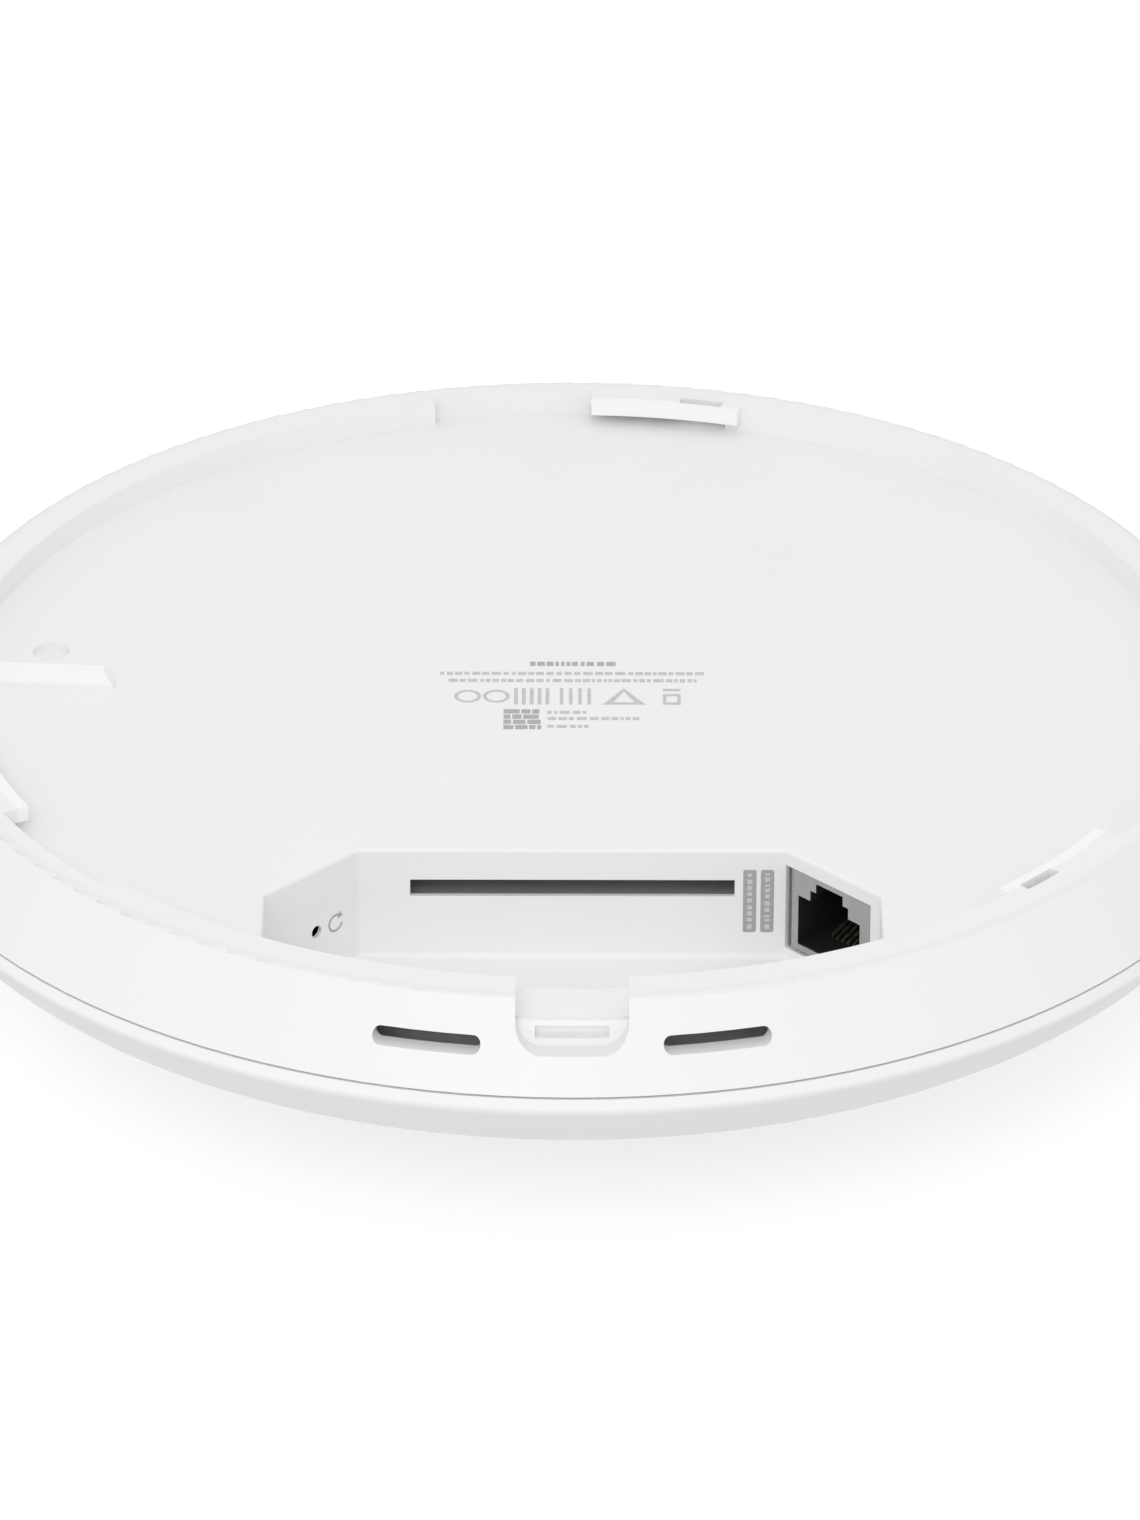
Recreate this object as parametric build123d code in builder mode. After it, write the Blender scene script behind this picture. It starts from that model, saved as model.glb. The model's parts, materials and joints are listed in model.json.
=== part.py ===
"""Ceiling access point: a round, fan-assisted wireless unit that hangs from a bayonet bracket.

Frame: millimetres, +Z points up to the ceiling.  The origin is the centre of the mounting recess, on
the rim plane that meets the ceiling.  The cable bay opens towards -Y and the domed front faces -Z.
"""
from math import acos, asin, cos, degrees, radians, sin, sqrt
import os

from build123d import *

os.makedirs("parts", exist_ok=True)

# ---------------------------------------------------------------- driving dimensions
# Outer envelope
FLOOR_Z = -3.85            # floor of the mounting recess
PARTING_Z = -11.55         # lower edge of the rear cover
DOME_BOTTOM_Z = -46.0      # lowest point of the front dome
RIM_R = 95.2               # outer edge of the flat rim
PARTING_R = 102.6          # outer edge of the rear cover at the parting line
DOME_R = 103.0             # widest radius, on the front dome
WALL = 2.2                 # shell thickness
SEAL_GAP = 0.35            # gap between the two shells, filled by the seal

# Mounting recess and its three bayonet hooks
RECESS_R = 89.8            # bore of the mounting recess
ENTRY_R = 91.9             # bore of the entry notches
LIP_R = 87.9               # inner edge of each hook's lip
LIP_DEPTH = 2.2            # thickness of each lip
HOOK_POCKET_R = 93.0       # bore of the space under each hook
HOOK_STOP = 1.5            # angle by which that space stops short of the closed end of each hook
NOTCH_START, NOTCH_END = 88.2, 103.8
HOOK_START, HOOK_END = 73.3, 88.2
SLOT_START, SLOT_END = 75.2, 79.4
HOOK_TURNS = (0, 120, 239.4)       # the third is a little out of step, so the bracket fits one way round

# Cable bay: far wall, two 45-degree corner walls, side walls and a curved front wall
BAY_FLOOR_Z = -21.35
BAY_FAR_Y = -47.0
BAY_FAR_HALF = 30.4
BAY_HALF = 43.3
BAY_FRONT_R = 85.6
BAY_WALL = 2.0
CORNER_RUN = BAY_HALF - BAY_FAR_HALF
CORNER_X = (BAY_FAR_HALF + BAY_HALF) / 2
CORNER_Y = BAY_FAR_Y - CORNER_RUN / 2

# Main circuit board and the chassis plate below it
BOARD_R = 84.0
BOARD_TOP_Z = -19.15
BOARD_THICKNESS = 1.6
BOARD_BOTTOM_Z = BOARD_TOP_Z - BOARD_THICKNESS
PLATE_TOP_Z = -23.6
PLATE_THICKNESS = 3.2
PLATE_BOTTOM_Z = PLATE_TOP_Z - PLATE_THICKNESS
PLATE_R = 80.0
BOSS_R = 74.0
BOSS_ANGLES = (25, 90, 155, 200, 340)
SCREW_R = 1.25

# Network jack, on the corner wall with +X
JACK_WIDTH = 15.2
JACK_HEIGHT = 12.8
JACK_DEPTH = 21.0
JACK_SET_BACK = 0.05       # how far the jack's face lies behind the bay side of the wall
JACK_SHIFT = 0.35          # offset from the middle of the corner wall
JACK_MID_Z = BOARD_TOP_Z + JACK_HEIGHT / 2

# Reset button, behind the corner wall with -X
RESET_Z = -14.0
RESET_SHIFT = 0.8          # offset from the middle of the corner wall

# Blower on the back of the board
FAN_Y = 24.0
FAN_SIZE = 48.0
FAN_BASE_Z = -18.15
FAN_TOP_Z = -8.15
FAN_COVER_THICKNESS = 1.0
FAN_SCREW_OFFSET = 20.3
SHAFT_R = 1.0
BEARING_R = 2.0
BEARING_CLEARANCE = 0.03

# Light ring in the front dome
RING_R = 33.0
RING_WIDTH = 2.4

# Antennas on the dome side of the chassis plate
ANTENNA_R = 60.0
LEAD_HOLE_R = 67.0
ANTENNA_KINDS = {"low": (30.0, 9.0), "mid": (23.0, 8.0), "high": (16.0, 7.0)}


# ---------------------------------------------------------------- shared geometry
def cover_radius(z):
    """Outer radius of the rear cover's conical side wall at height z."""
    return RIM_R + (PARTING_R - RIM_R) * z / PARTING_Z


def polar_point(radius, angle):
    """Point at a radius and an angle in degrees about the centre of the recess."""
    return (radius * cos(radians(angle)), radius * sin(radians(angle)))


def sector(inner, outer, start, end):
    """Sketch of a ring sector between two radii and two angles."""
    middle = (start + end) / 2
    with BuildSketch() as shape:
        with BuildLine():
            Line(polar_point(inner, start), polar_point(outer, start))
            ThreePointArc(polar_point(outer, start), polar_point(outer, middle), polar_point(outer, end))
            Line(polar_point(outer, end), polar_point(inner, end))
            ThreePointArc(polar_point(inner, end), polar_point(inner, middle), polar_point(inner, start))
        make_face()
    return shape.sketch


def bay_outline(margin=0):
    """Sketch of the cable bay's inside in plan, grown all round by a margin."""
    front_y = -sqrt(BAY_FRONT_R**2 - BAY_HALF**2)
    corner_y = BAY_FAR_Y - CORNER_RUN
    with BuildSketch() as shape:
        with BuildLine():
            Polyline(
                (-BAY_HALF, front_y),
                (-BAY_HALF, corner_y),
                (-BAY_FAR_HALF, BAY_FAR_Y),
                (BAY_FAR_HALF, BAY_FAR_Y),
                (BAY_HALF, corner_y),
                (BAY_HALF, front_y),
            )
            ThreePointArc((BAY_HALF, front_y), (0, -BAY_FRONT_R), (-BAY_HALF, front_y))
        make_face()
        if margin:
            offset(amount=margin, kind=Kind.INTERSECTION)
    return shape.sketch


def radial_plane(angle, origin=(0, 0, 0)):
    """Upright plane through an origin, with +X pointing outwards at an angle and +Y up."""
    x, y = polar_point(1, angle)
    return Plane(origin=origin, x_dir=(x, y, 0), z_dir=(y, -x, 0))


def inward_plane(radius, angle, z):
    """Upright plane at a radius and an angle, facing the centre, with +Y up."""
    x, y = polar_point(1, angle)
    return Plane(origin=(radius * x, radius * y, z), x_dir=(y, -x, 0), z_dir=(-x, -y, 0))


def hanging_plane(radius, angle, z):
    """Level plane that faces down at a radius and an angle, with +X tangential and +Y outwards."""
    x, y = polar_point(1, angle)
    return Plane(origin=(radius * x, radius * y, z), x_dir=(-y, x, 0), z_dir=(0, 0, -1))


def corner_plane(side, z, depth=0, shift=0):
    """Plane parallel to a 45-degree corner wall (side +1 or -1), facing into the housing, +Y up.

    The depth is measured from the bay side of the wall, and the shift goes along it, towards the far wall.
    """
    diagonal = sqrt(0.5)
    x = side * (CORNER_X + (depth - shift) * diagonal)
    y = CORNER_Y + (depth + shift) * diagonal
    return Plane(
        origin=(x, y, z),
        x_dir=(-diagonal, side * diagonal, 0),
        z_dir=(side * diagonal, diagonal, 0),
    )


def reset_plane(depth):
    """Plane across the reset button at a depth behind the bay side of its corner wall."""
    return corner_plane(-1, RESET_Z, depth, RESET_SHIFT)


def save(part, name):
    """Name a finished piece and write its STEP file."""
    part.label = name
    export_step(part, f"parts/{name}.step")


# ---------------------------------------------------------------- rear cover
GROOVE_R = ENTRY_R + 2.0           # inner wall of the coring groove behind the rim
GROOVE_TOP_Z = -2.4
FLOOR_UNDER_Z = FLOOR_Z - WALL
RECESS_EDGE_R = 0.4                # rounding of the recess wall's top and foot
SIDE_WALL = 2.6                    # side wall thickness, measured horizontally
MOULD_SLOT_INNER_R, MOULD_SLOT_OUTER_R = 89.3, 91.0
RIB_ANGLE, RIB_ORIGIN = 176.0, (0, -3.0, 0)
RIB_INNER_R, RIB_WIDTH, RIB_HEIGHT, RIB_RAMP = 67.3, 2.0, 2.9, 1.6
DIMPLE_AT, DIMPLE_R, DIMPLE_DEPTH = (-77.2, 12.6), 2.7, 1.0
NOTCH_HALF, NOTCH_CORNER_R = 7.8, 3.6
NOTCH_SET_BACK, NOTCH_BOTTOM_Z, NOTCH_EDGE_R = 3.0, -6.85, 0.5
BACKING_BOTTOM_Z = -9.6
LATCH_SLOT_HALF, LATCH_SLOT_TOP_Z, LATCH_SLOT_BOTTOM_Z = 5.1, -4.6, -6.0
VENT_ANGLES = (-101.7, -78.3)
VENT_LENGTH, VENT_HEIGHT, VENT_Z = 15.2, 2.3, -5.9
OUTLET_HALF, OUTLET_TOP_Z, OUTLET_BOTTOM_Z = 23.1, -8.75, -11.4
RESET_HOLE_R, RESET_RELIEF_R = 0.95, 2.6
JACK_GAP, JACK_GAP_FAR, JACK_GAP_BELOW = 0.1, 1.2, 0.6     # gaps round the jack in its opening
JACK_OPENING = (JACK_WIDTH + JACK_GAP + JACK_GAP_FAR, JACK_HEIGHT + JACK_GAP + JACK_GAP_BELOW)
JACK_OPENING_Z = JACK_MID_Z + (JACK_GAP - JACK_GAP_BELOW) / 2
JACK_OPENING_SHIFT = JACK_SHIFT + (JACK_GAP_FAR - JACK_GAP) / 2
THIN_WALL, RELIEF = 0.7, 1.1       # wall left round an opening, and how far the thinning reaches
BOARD_BOSS_R = 3.6
BACKING_INNER_R, BACKING_OUTER_R = 89.4, 97.2
BACKING_START, BACKING_END = -96.2, -83.8
CHANNEL_MID_Y, CHANNEL_LENGTH = -94.0, 14.0
LATCH_SLOT_Y, LATCH_SLOT_LENGTH = -94.6, 9.0
LEDGE_HALF_ANGLE = 4.0
LEDGE_BOTTOM_Z, LEDGE_TOP_Z, LEDGE_R = -10.6, -9.8, 97.3
CLIP_ANGLES = range(0, 360, 60)

# outer layer of the side wall, limited to the U-shaped outline of the release notch
with BuildPart() as notch_cutter:
    with BuildSketch(Plane.XZ):
        with BuildLine():
            Polyline(
                (RIM_R - NOTCH_SET_BACK, 0),
                (RIM_R + 5, 0),
                (PARTING_R + 5, PARTING_Z),
                (PARTING_R - NOTCH_SET_BACK, PARTING_Z),
                close=True,
            )
        make_face()
    revolve(axis=Axis.Z)
    with BuildSketch(Plane.XZ) as outline:
        with Locations((0, NOTCH_BOTTOM_Z)):
            Rectangle(2 * NOTCH_HALF, 10, align=(Align.CENTER, Align.MIN))
        fillet(outline.vertices().group_by(Axis.Y)[0], radius=NOTCH_CORNER_R)
    extrude(amount=PARTING_R + 6, mode=Mode.INTERSECT)

with BuildPart() as rear_cover:
    with BuildSketch(Plane.XZ) as section:
        with BuildLine():
            Polyline(
                (0, FLOOR_Z),
                (RECESS_R, FLOOR_Z),
                (RECESS_R, 0),
                (RIM_R, 0),
                (PARTING_R, PARTING_Z),
                (PARTING_R - SIDE_WALL, PARTING_Z),
                (cover_radius(GROOVE_TOP_Z) - SIDE_WALL, GROOVE_TOP_Z),
                (GROOVE_R, GROOVE_TOP_Z),
                (GROOVE_R, FLOOR_UNDER_Z),
                (0, FLOOR_UNDER_Z),
                close=True,
            )
        make_face()
        top_corners = section.vertices().group_by(Axis.Y)[-1].sort_by(Axis.X)
        recess_corner = section.vertices().sort_by_distance((RECESS_R, 0, FLOOR_Z))[0]
        fillet(top_corners[-1], radius=0.9)
        fillet([top_corners[0], recess_corner], radius=RECESS_EDGE_R)
    revolve(axis=Axis.Z)

    # cable bay, with rounded top edges
    with BuildSketch(Plane.XY.offset(BAY_FLOOR_Z - BAY_WALL)):
        add(bay_outline(BAY_WALL))
    extrude(amount=FLOOR_UNDER_Z - BAY_FLOOR_Z + BAY_WALL)
    with BuildSketch(Plane.XY.offset(BAY_FLOOR_Z)):
        add(bay_outline())
    extrude(amount=-BAY_FLOOR_Z, mode=Mode.SUBTRACT)
    far_corner = rear_cover.edges().filter_by(Axis.Z).sort_by_distance((-BAY_FAR_HALF, BAY_FAR_Y, -12))[0]
    fillet(far_corner, radius=1.2)
    bay_edges = rear_cover.edges().filter_by_position(Axis.Z, FLOOR_Z - 0.01, FLOOR_Z + 0.01)
    fillet(bay_edges.filter_by_position(Axis.Y, -BAY_FRONT_R - 0.1, BAY_FAR_Y + 0.1), radius=0.6)
    foot_edges = rear_cover.edges().filter_by_position(Axis.Z, BAY_FLOOR_Z - 0.01, BAY_FLOOR_Z + 0.01)
    fillet(foot_edges.filter_by_position(Axis.Y, BAY_FAR_Y - 0.01, BAY_FAR_Y + 0.01), radius=0.8)

    # openings in the bay walls: air outlet, network jack and reset pinhole
    with BuildSketch(Plane.XZ.offset(-BAY_FAR_Y - BAY_WALL - 1)):
        with Locations((0, (OUTLET_TOP_Z + OUTLET_BOTTOM_Z) / 2)):
            Rectangle(2 * OUTLET_HALF, OUTLET_TOP_Z - OUTLET_BOTTOM_Z)
    extrude(amount=BAY_WALL + 2, mode=Mode.SUBTRACT)
    with BuildSketch(corner_plane(1, JACK_OPENING_Z, -1, JACK_OPENING_SHIFT)):
        Rectangle(*JACK_OPENING)
    extrude(amount=BAY_WALL + 2, mode=Mode.SUBTRACT)
    with BuildSketch(reset_plane(-1)):
        Circle(RESET_HOLE_R)
    extrude(amount=BAY_WALL + 2, mode=Mode.SUBTRACT)

    # the walls are thinned from behind round these openings
    with BuildSketch(Plane.XZ.offset(-BAY_FAR_Y - BAY_WALL - 1)):
        with Locations((0, (OUTLET_TOP_Z + OUTLET_BOTTOM_Z) / 2)):
            Rectangle(2 * OUTLET_HALF + 2, OUTLET_TOP_Z - OUTLET_BOTTOM_Z + 2 * RELIEF)
    extrude(amount=BAY_WALL + 1 - THIN_WALL, mode=Mode.SUBTRACT)
    with BuildSketch(corner_plane(1, JACK_OPENING_Z, THIN_WALL, JACK_OPENING_SHIFT)):
        Rectangle(JACK_OPENING[0] + RELIEF, JACK_OPENING[1] + RELIEF)
    extrude(amount=BAY_WALL + 1, mode=Mode.SUBTRACT)
    with BuildSketch(reset_plane(THIN_WALL)):
        Circle(RESET_RELIEF_R)
    extrude(amount=BAY_WALL + 1, mode=Mode.SUBTRACT)

    # bosses for the circuit board, and latch ledges for the dome's clips
    with BuildSketch(Plane.XY.offset(BOARD_TOP_Z)):
        with Locations(*[polar_point(BOSS_R, angle) for angle in BOSS_ANGLES]):
            Circle(BOARD_BOSS_R)
            Circle(SCREW_R, mode=Mode.SUBTRACT)
    extrude(amount=FLOOR_UNDER_Z - BOARD_TOP_Z)
    with BuildSketch(Plane.XY.offset(LEDGE_BOTTOM_Z)):
        for angle in CLIP_ANGLES:
            outer = cover_radius(LEDGE_TOP_Z) - SIDE_WALL + 0.3
            add(sector(LEDGE_R, outer, angle - LEDGE_HALF_ANGLE, angle + LEDGE_HALF_ANGLE))
    extrude(amount=LEDGE_TOP_Z - LEDGE_BOTTOM_Z)

    # three bayonet hooks: entry notch, overhanging lip, the space under it and its mould slot
    for turn in HOOK_TURNS:
        with BuildSketch(Plane.XY.offset(FLOOR_Z)):
            add(sector(RECESS_R - 1, ENTRY_R, NOTCH_START + turn, NOTCH_END + turn))
        extrude(amount=-FLOOR_Z, mode=Mode.SUBTRACT)
        with BuildSketch(Plane.XY.offset(-LIP_DEPTH)):
            add(sector(LIP_R, ENTRY_R + 0.5, HOOK_START + turn, HOOK_END + turn))
        extrude(amount=LIP_DEPTH)
        with BuildSketch(Plane.XY.offset(FLOOR_Z)):
            pocket_start, pocket_end = HOOK_START + HOOK_STOP + turn, HOOK_END + turn + 0.1
            add(sector(LIP_R - 1, HOOK_POCKET_R, pocket_start, pocket_end))
        extrude(amount=-LIP_DEPTH - FLOOR_Z, mode=Mode.SUBTRACT)
        with BuildSketch(Plane.XY.offset(-LIP_DEPTH)):
            add(sector(MOULD_SLOT_INNER_R, MOULD_SLOT_OUTER_R, SLOT_START + turn, SLOT_END + turn))
        extrude(amount=LIP_DEPTH, mode=Mode.SUBTRACT)

    # rotation stop rib with a ramped tip, and the locating dimple beside it
    with BuildSketch(radial_plane(RIB_ANGLE, RIB_ORIGIN)):
        with BuildLine():
            Polyline(
                (RIB_INNER_R, FLOOR_Z - 0.2),
                (RECESS_R + 1, FLOOR_Z - 0.2),
                (RECESS_R + 1, FLOOR_Z + RIB_HEIGHT),
                (RIB_INNER_R + RIB_RAMP, FLOOR_Z + RIB_HEIGHT),
                (RIB_INNER_R, FLOOR_Z),
                close=True,
            )
        make_face()
    extrude(amount=RIB_WIDTH / 2, both=True)
    with BuildSketch(Plane.XY.offset(FLOOR_Z)):
        with Locations(DIMPLE_AT):
            Circle(DIMPLE_R)
    extrude(amount=-DIMPLE_DEPTH, mode=Mode.SUBTRACT)

    # release notch: solid backing, a channel through the rim, and a set-back panel with a latch slot
    with BuildSketch(Plane.XY.offset(BACKING_BOTTOM_Z)):
        add(sector(BACKING_INNER_R, BACKING_OUTER_R, BACKING_START, BACKING_END))
    extrude(amount=FLOOR_Z - BACKING_BOTTOM_Z)
    with BuildSketch(Plane.XY.offset(FLOOR_Z)):
        with Locations((0, CHANNEL_MID_Y)):
            Rectangle(2 * NOTCH_HALF, CHANNEL_LENGTH)
    extrude(amount=-FLOOR_Z, mode=Mode.SUBTRACT)
    add(notch_cutter.part, mode=Mode.SUBTRACT)
    with BuildSketch(Plane.XZ.offset(-LATCH_SLOT_Y)):
        with Locations((0, LATCH_SLOT_BOTTOM_Z)):
            Rectangle(
                2 * LATCH_SLOT_HALF,
                LATCH_SLOT_TOP_Z - LATCH_SLOT_BOTTOM_Z,
                align=(Align.CENTER, Align.MIN),
            )
    extrude(amount=LATCH_SLOT_LENGTH, mode=Mode.SUBTRACT)

    panel_top = rear_cover.edges().sort_by_distance((0, -cover_radius(FLOOR_Z) + NOTCH_SET_BACK, FLOOR_Z))[0]
    fillet(panel_top, radius=NOTCH_EDGE_R)

    # air inlets through the side wall
    for angle in VENT_ANGLES:
        with BuildSketch(inward_plane(PARTING_R + 1, angle, VENT_Z)):
            SlotOverall(VENT_LENGTH, VENT_HEIGHT)
        extrude(amount=PARTING_R + 1 - GROOVE_R - 0.6, mode=Mode.SUBTRACT)

save(rear_cover.part, "rear_cover")

# ---------------------------------------------------------------- front dome
# The profile is a short straight band, a rim arc and a spherical cap that meets the arc tangentially.
DOME_TOP_Z = PARTING_Z - SEAL_GAP
BAND_Z = -13.3                     # where the rim arc begins, at the widest radius
EDGE_ANGLE = 20.0                  # slope of the rim arc where it begins
EDGE_R = 18.5                      # radius of the rim arc
EDGE_CENTRE = (
    DOME_R - EDGE_R * cos(radians(EDGE_ANGLE)),
    BAND_Z + EDGE_R * sin(radians(EDGE_ANGLE)),
)
EDGE_HEIGHT = EDGE_CENTRE[1] - DOME_BOTTOM_Z
CAP_R = (EDGE_CENTRE[0] ** 2 + EDGE_HEIGHT**2 - EDGE_R**2) / (2 * (EDGE_HEIGHT - EDGE_R))
CAP_CENTRE = (0, DOME_BOTTOM_Z + CAP_R)
CAP_ANGLE = degrees(asin(EDGE_CENTRE[0] / (CAP_R - EDGE_R)))
SPIGOT_INNER_R, SPIGOT_OUTER_R, SPIGOT_TOP_Z = 96.4, 98.3, -10.9
INNER_EDGE_R = EDGE_R - WALL
INNER_EDGE_ANGLE = degrees(acos((SPIGOT_INNER_R - EDGE_CENTRE[0]) / INNER_EDGE_R))
CLIP_ROOT_Z, CLIP_TOP_Z = -16.0, -8.6
CLIP_INNER_R, CLIP_OUTER_R, CLIP_HOOK_R = 95.4, 97.1, 98.0
CLIP_HOOK_Z = LEDGE_TOP_Z + 0.2
CLIP_HALF_ANGLE = 3.5
LEG_ANGLES = range(0, 360, 45)
LEG_HALF_ANGLE = 5.0
RING_INNER_R = RING_R - RING_WIDTH / 2
RING_OUTER_R = RING_R + RING_WIDTH / 2
RING_BACK_Z = -42.5
LEG_TOP_Z = -39.6
RING_FIT = 0.05                    # clearance round the light ring in its groove
LEG_WIDTH = 1.5
LEG_FIT = 0.1                      # clearance at each end of a leg, in degrees
LED_BOARD_BOTTOM_Z = -38.4
LED_BOARD_THICKNESS = 1.0
LED_BOSS_R = 28.6
LED_BOSS_ANGLES = (30, 150, 270)
LED_SCREW_R = 0.9
LED_SCREW_DEPTH = 4.5              # depth of the screw holes in the bosses
LED_BOSS_TOP_R = 2.2


def cap_height(radius, depth=0.0):
    """Height of the dome's cap at a radius, on its outside or at a depth inside it."""
    return CAP_CENTRE[1] - sqrt((CAP_R - depth) ** 2 - radius**2)


with BuildPart() as front_dome:
    with BuildSketch(Plane.XZ):
        with BuildLine():
            CenterArc(CAP_CENTRE, CAP_R, -90, CAP_ANGLE)
            CenterArc(EDGE_CENTRE, EDGE_R, CAP_ANGLE - 90, 90 - CAP_ANGLE - EDGE_ANGLE)
            Polyline(
                (DOME_R, BAND_Z),
                (PARTING_R, DOME_TOP_Z),
                (SPIGOT_OUTER_R, DOME_TOP_Z),
                (SPIGOT_OUTER_R, SPIGOT_TOP_Z),
                (SPIGOT_INNER_R, SPIGOT_TOP_Z),
                (SPIGOT_INNER_R, EDGE_CENTRE[1] - INNER_EDGE_R * sin(radians(INNER_EDGE_ANGLE))),
            )
            CenterArc(EDGE_CENTRE, INNER_EDGE_R, CAP_ANGLE - 90, 90 - CAP_ANGLE - INNER_EDGE_ANGLE)
            CenterArc(CAP_CENTRE, CAP_R - WALL, -90, CAP_ANGLE)
            Line((0, DOME_BOTTOM_Z + WALL), (0, DOME_BOTTOM_Z))
        make_face()
    revolve(axis=Axis.Z)

    # clips that snap over the rear cover's ledges
    with BuildSketch(Plane.XY.offset(CLIP_ROOT_Z)):
        for angle in CLIP_ANGLES:
            add(sector(CLIP_INNER_R, CLIP_OUTER_R, angle - CLIP_HALF_ANGLE, angle + CLIP_HALF_ANGLE))
    extrude(amount=CLIP_TOP_Z - CLIP_ROOT_Z)
    with BuildSketch(Plane.XY.offset(CLIP_HOOK_Z)):
        for angle in CLIP_ANGLES:
            start, end = angle - CLIP_HALF_ANGLE, angle + CLIP_HALF_ANGLE
            add(sector(CLIP_OUTER_R - 0.1, CLIP_HOOK_R, start, end))
    extrude(amount=CLIP_TOP_Z - CLIP_HOOK_Z)

    # bosses for the indicator board
    boss_root_z = cap_height(LED_BOSS_R, WALL / 2)
    with BuildSketch(Plane.XY.offset(boss_root_z)):
        with Locations(*[polar_point(LED_BOSS_R, angle) for angle in LED_BOSS_ANGLES]):
            Circle(LED_BOSS_TOP_R)
    extrude(amount=LED_BOARD_BOTTOM_Z - boss_root_z)
    with BuildSketch(Plane.XY.offset(LED_BOARD_BOTTOM_Z)):
        with Locations(*[polar_point(LED_BOSS_R, angle) for angle in LED_BOSS_ANGLES]):
            Circle(LED_SCREW_R)
    extrude(amount=-LED_SCREW_DEPTH, mode=Mode.SUBTRACT)

    # groove for the light ring, with windows for its legs
    with BuildSketch(Plane.XY.offset(DOME_BOTTOM_Z)):
        Circle(RING_OUTER_R + RING_FIT)
        Circle(RING_INNER_R - RING_FIT, mode=Mode.SUBTRACT)
    extrude(amount=RING_BACK_Z - DOME_BOTTOM_Z, mode=Mode.SUBTRACT)
    with BuildSketch(Plane.XY.offset(DOME_BOTTOM_Z)):
        for angle in LEG_ANGLES:
            half = LEG_HALF_ANGLE + LEG_FIT
            inner = RING_R - LEG_WIDTH / 2 - RING_FIT
            outer = RING_R + LEG_WIDTH / 2 + RING_FIT
            add(sector(inner, outer, angle - half, angle + half))
    extrude(amount=LEG_TOP_Z - DOME_BOTTOM_Z, mode=Mode.SUBTRACT)

save(front_dome.part, "front_dome")

# ---------------------------------------------------------------- seal and light ring
SEAL_OUTER_R, SEAL_INNER_R = PARTING_R - 0.5, PARTING_R - 2.3

with BuildPart() as parting_seal:
    with BuildSketch(Plane.XY.offset(DOME_TOP_Z)):
        Circle(SEAL_OUTER_R)
        Circle(SEAL_INNER_R, mode=Mode.SUBTRACT)
    extrude(amount=SEAL_GAP)

save(parting_seal.part, "parting_seal")

# ring flush with the dome, with legs that carry the light through the dome's windows
with BuildPart() as light_ring:
    with BuildSketch(Plane.XY.offset(DOME_BOTTOM_Z)):
        Circle(RING_OUTER_R)
        Circle(RING_INNER_R, mode=Mode.SUBTRACT)
    extrude(amount=RING_BACK_Z - DOME_BOTTOM_Z)
    with Locations((0, 0, CAP_CENTRE[1])):
        Sphere(CAP_R, mode=Mode.INTERSECT)
    with BuildSketch(Plane.XY.offset(RING_BACK_Z)):
        for angle in LEG_ANGLES:
            inner = RING_R - LEG_WIDTH / 2
            outer = RING_R + LEG_WIDTH / 2
            add(sector(inner, outer, angle - LEG_HALF_ANGLE, angle + LEG_HALF_ANGLE))
    extrude(amount=LEG_TOP_Z - RING_BACK_Z)

save(light_ring.part, "light_ring")

# ---------------------------------------------------------------- indicator board
LED_SIZE, LED_HEIGHT = (3.2, 1.6), 0.9
LED_BOARD_OUTER_R, LED_BOARD_INNER_R = 38.0, 25.0
LED_BOARD_TOP_Z = LED_BOARD_BOTTOM_Z + LED_BOARD_THICKNESS
LED_SCREW_HEAD_R, LED_SCREW_HEAD, LED_SCREW_REACH = 1.9, 1.2, 3.5

with BuildPart() as indicator_board:
    with BuildSketch(Plane.XY.offset(LED_BOARD_BOTTOM_Z)):
        Circle(LED_BOARD_OUTER_R)
        Circle(LED_BOARD_INNER_R, mode=Mode.SUBTRACT)
        with Locations(*[polar_point(LED_BOSS_R, angle) for angle in LED_BOSS_ANGLES]):
            Circle(LED_SCREW_R, mode=Mode.SUBTRACT)
    extrude(amount=LED_BOARD_THICKNESS)

save(indicator_board.part, "indicator_board")

with BuildPart() as indicator_leds:
    for angle in LEG_ANGLES:
        with BuildSketch(hanging_plane(RING_R, angle, LED_BOARD_BOTTOM_Z)):
            Rectangle(*LED_SIZE)
        extrude(amount=LED_HEIGHT)

save(indicator_leds.part, "indicator_leds")

with BuildPart() as indicator_screws:
    with BuildSketch(Plane.XY.offset(LED_BOARD_TOP_Z)):
        with Locations(*[polar_point(LED_BOSS_R, angle) for angle in LED_BOSS_ANGLES]):
            Circle(LED_SCREW_HEAD_R)
    extrude(amount=LED_SCREW_HEAD)
    with BuildSketch(Plane.XY.offset(LED_BOARD_TOP_Z)):
        with Locations(*[polar_point(LED_BOSS_R, angle) for angle in LED_BOSS_ANGLES]):
            Circle(LED_SCREW_R)
    extrude(amount=-LED_BOARD_THICKNESS - LED_SCREW_REACH)

save(indicator_screws.part, "indicator_screws")

# ---------------------------------------------------------------- chassis plate and main board
# The antennas keep clear of the cable bay, where the plate carries no board.
ANTENNA_ANGLES = (-24, 24, 66, 114, 156, 204)
PLATE_RIB_ANGLES = range(0, 360, 60)
CHASSIS_PAD_R = 3.5
SCREW_CLEARANCE = 0.15
LEAD_HOLE_SIZE_R = 1.6
INDICATOR_OPENING_Y, INDICATOR_OPENING = 8.0, (14.0, 4.0)
RIB_RING_RADII = ((46.0, 44.5), (21.0, 19.5))
RIB_HALF_ANGLE = 1.0
PLATE_RIB_DEPTH = 2.0

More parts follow.
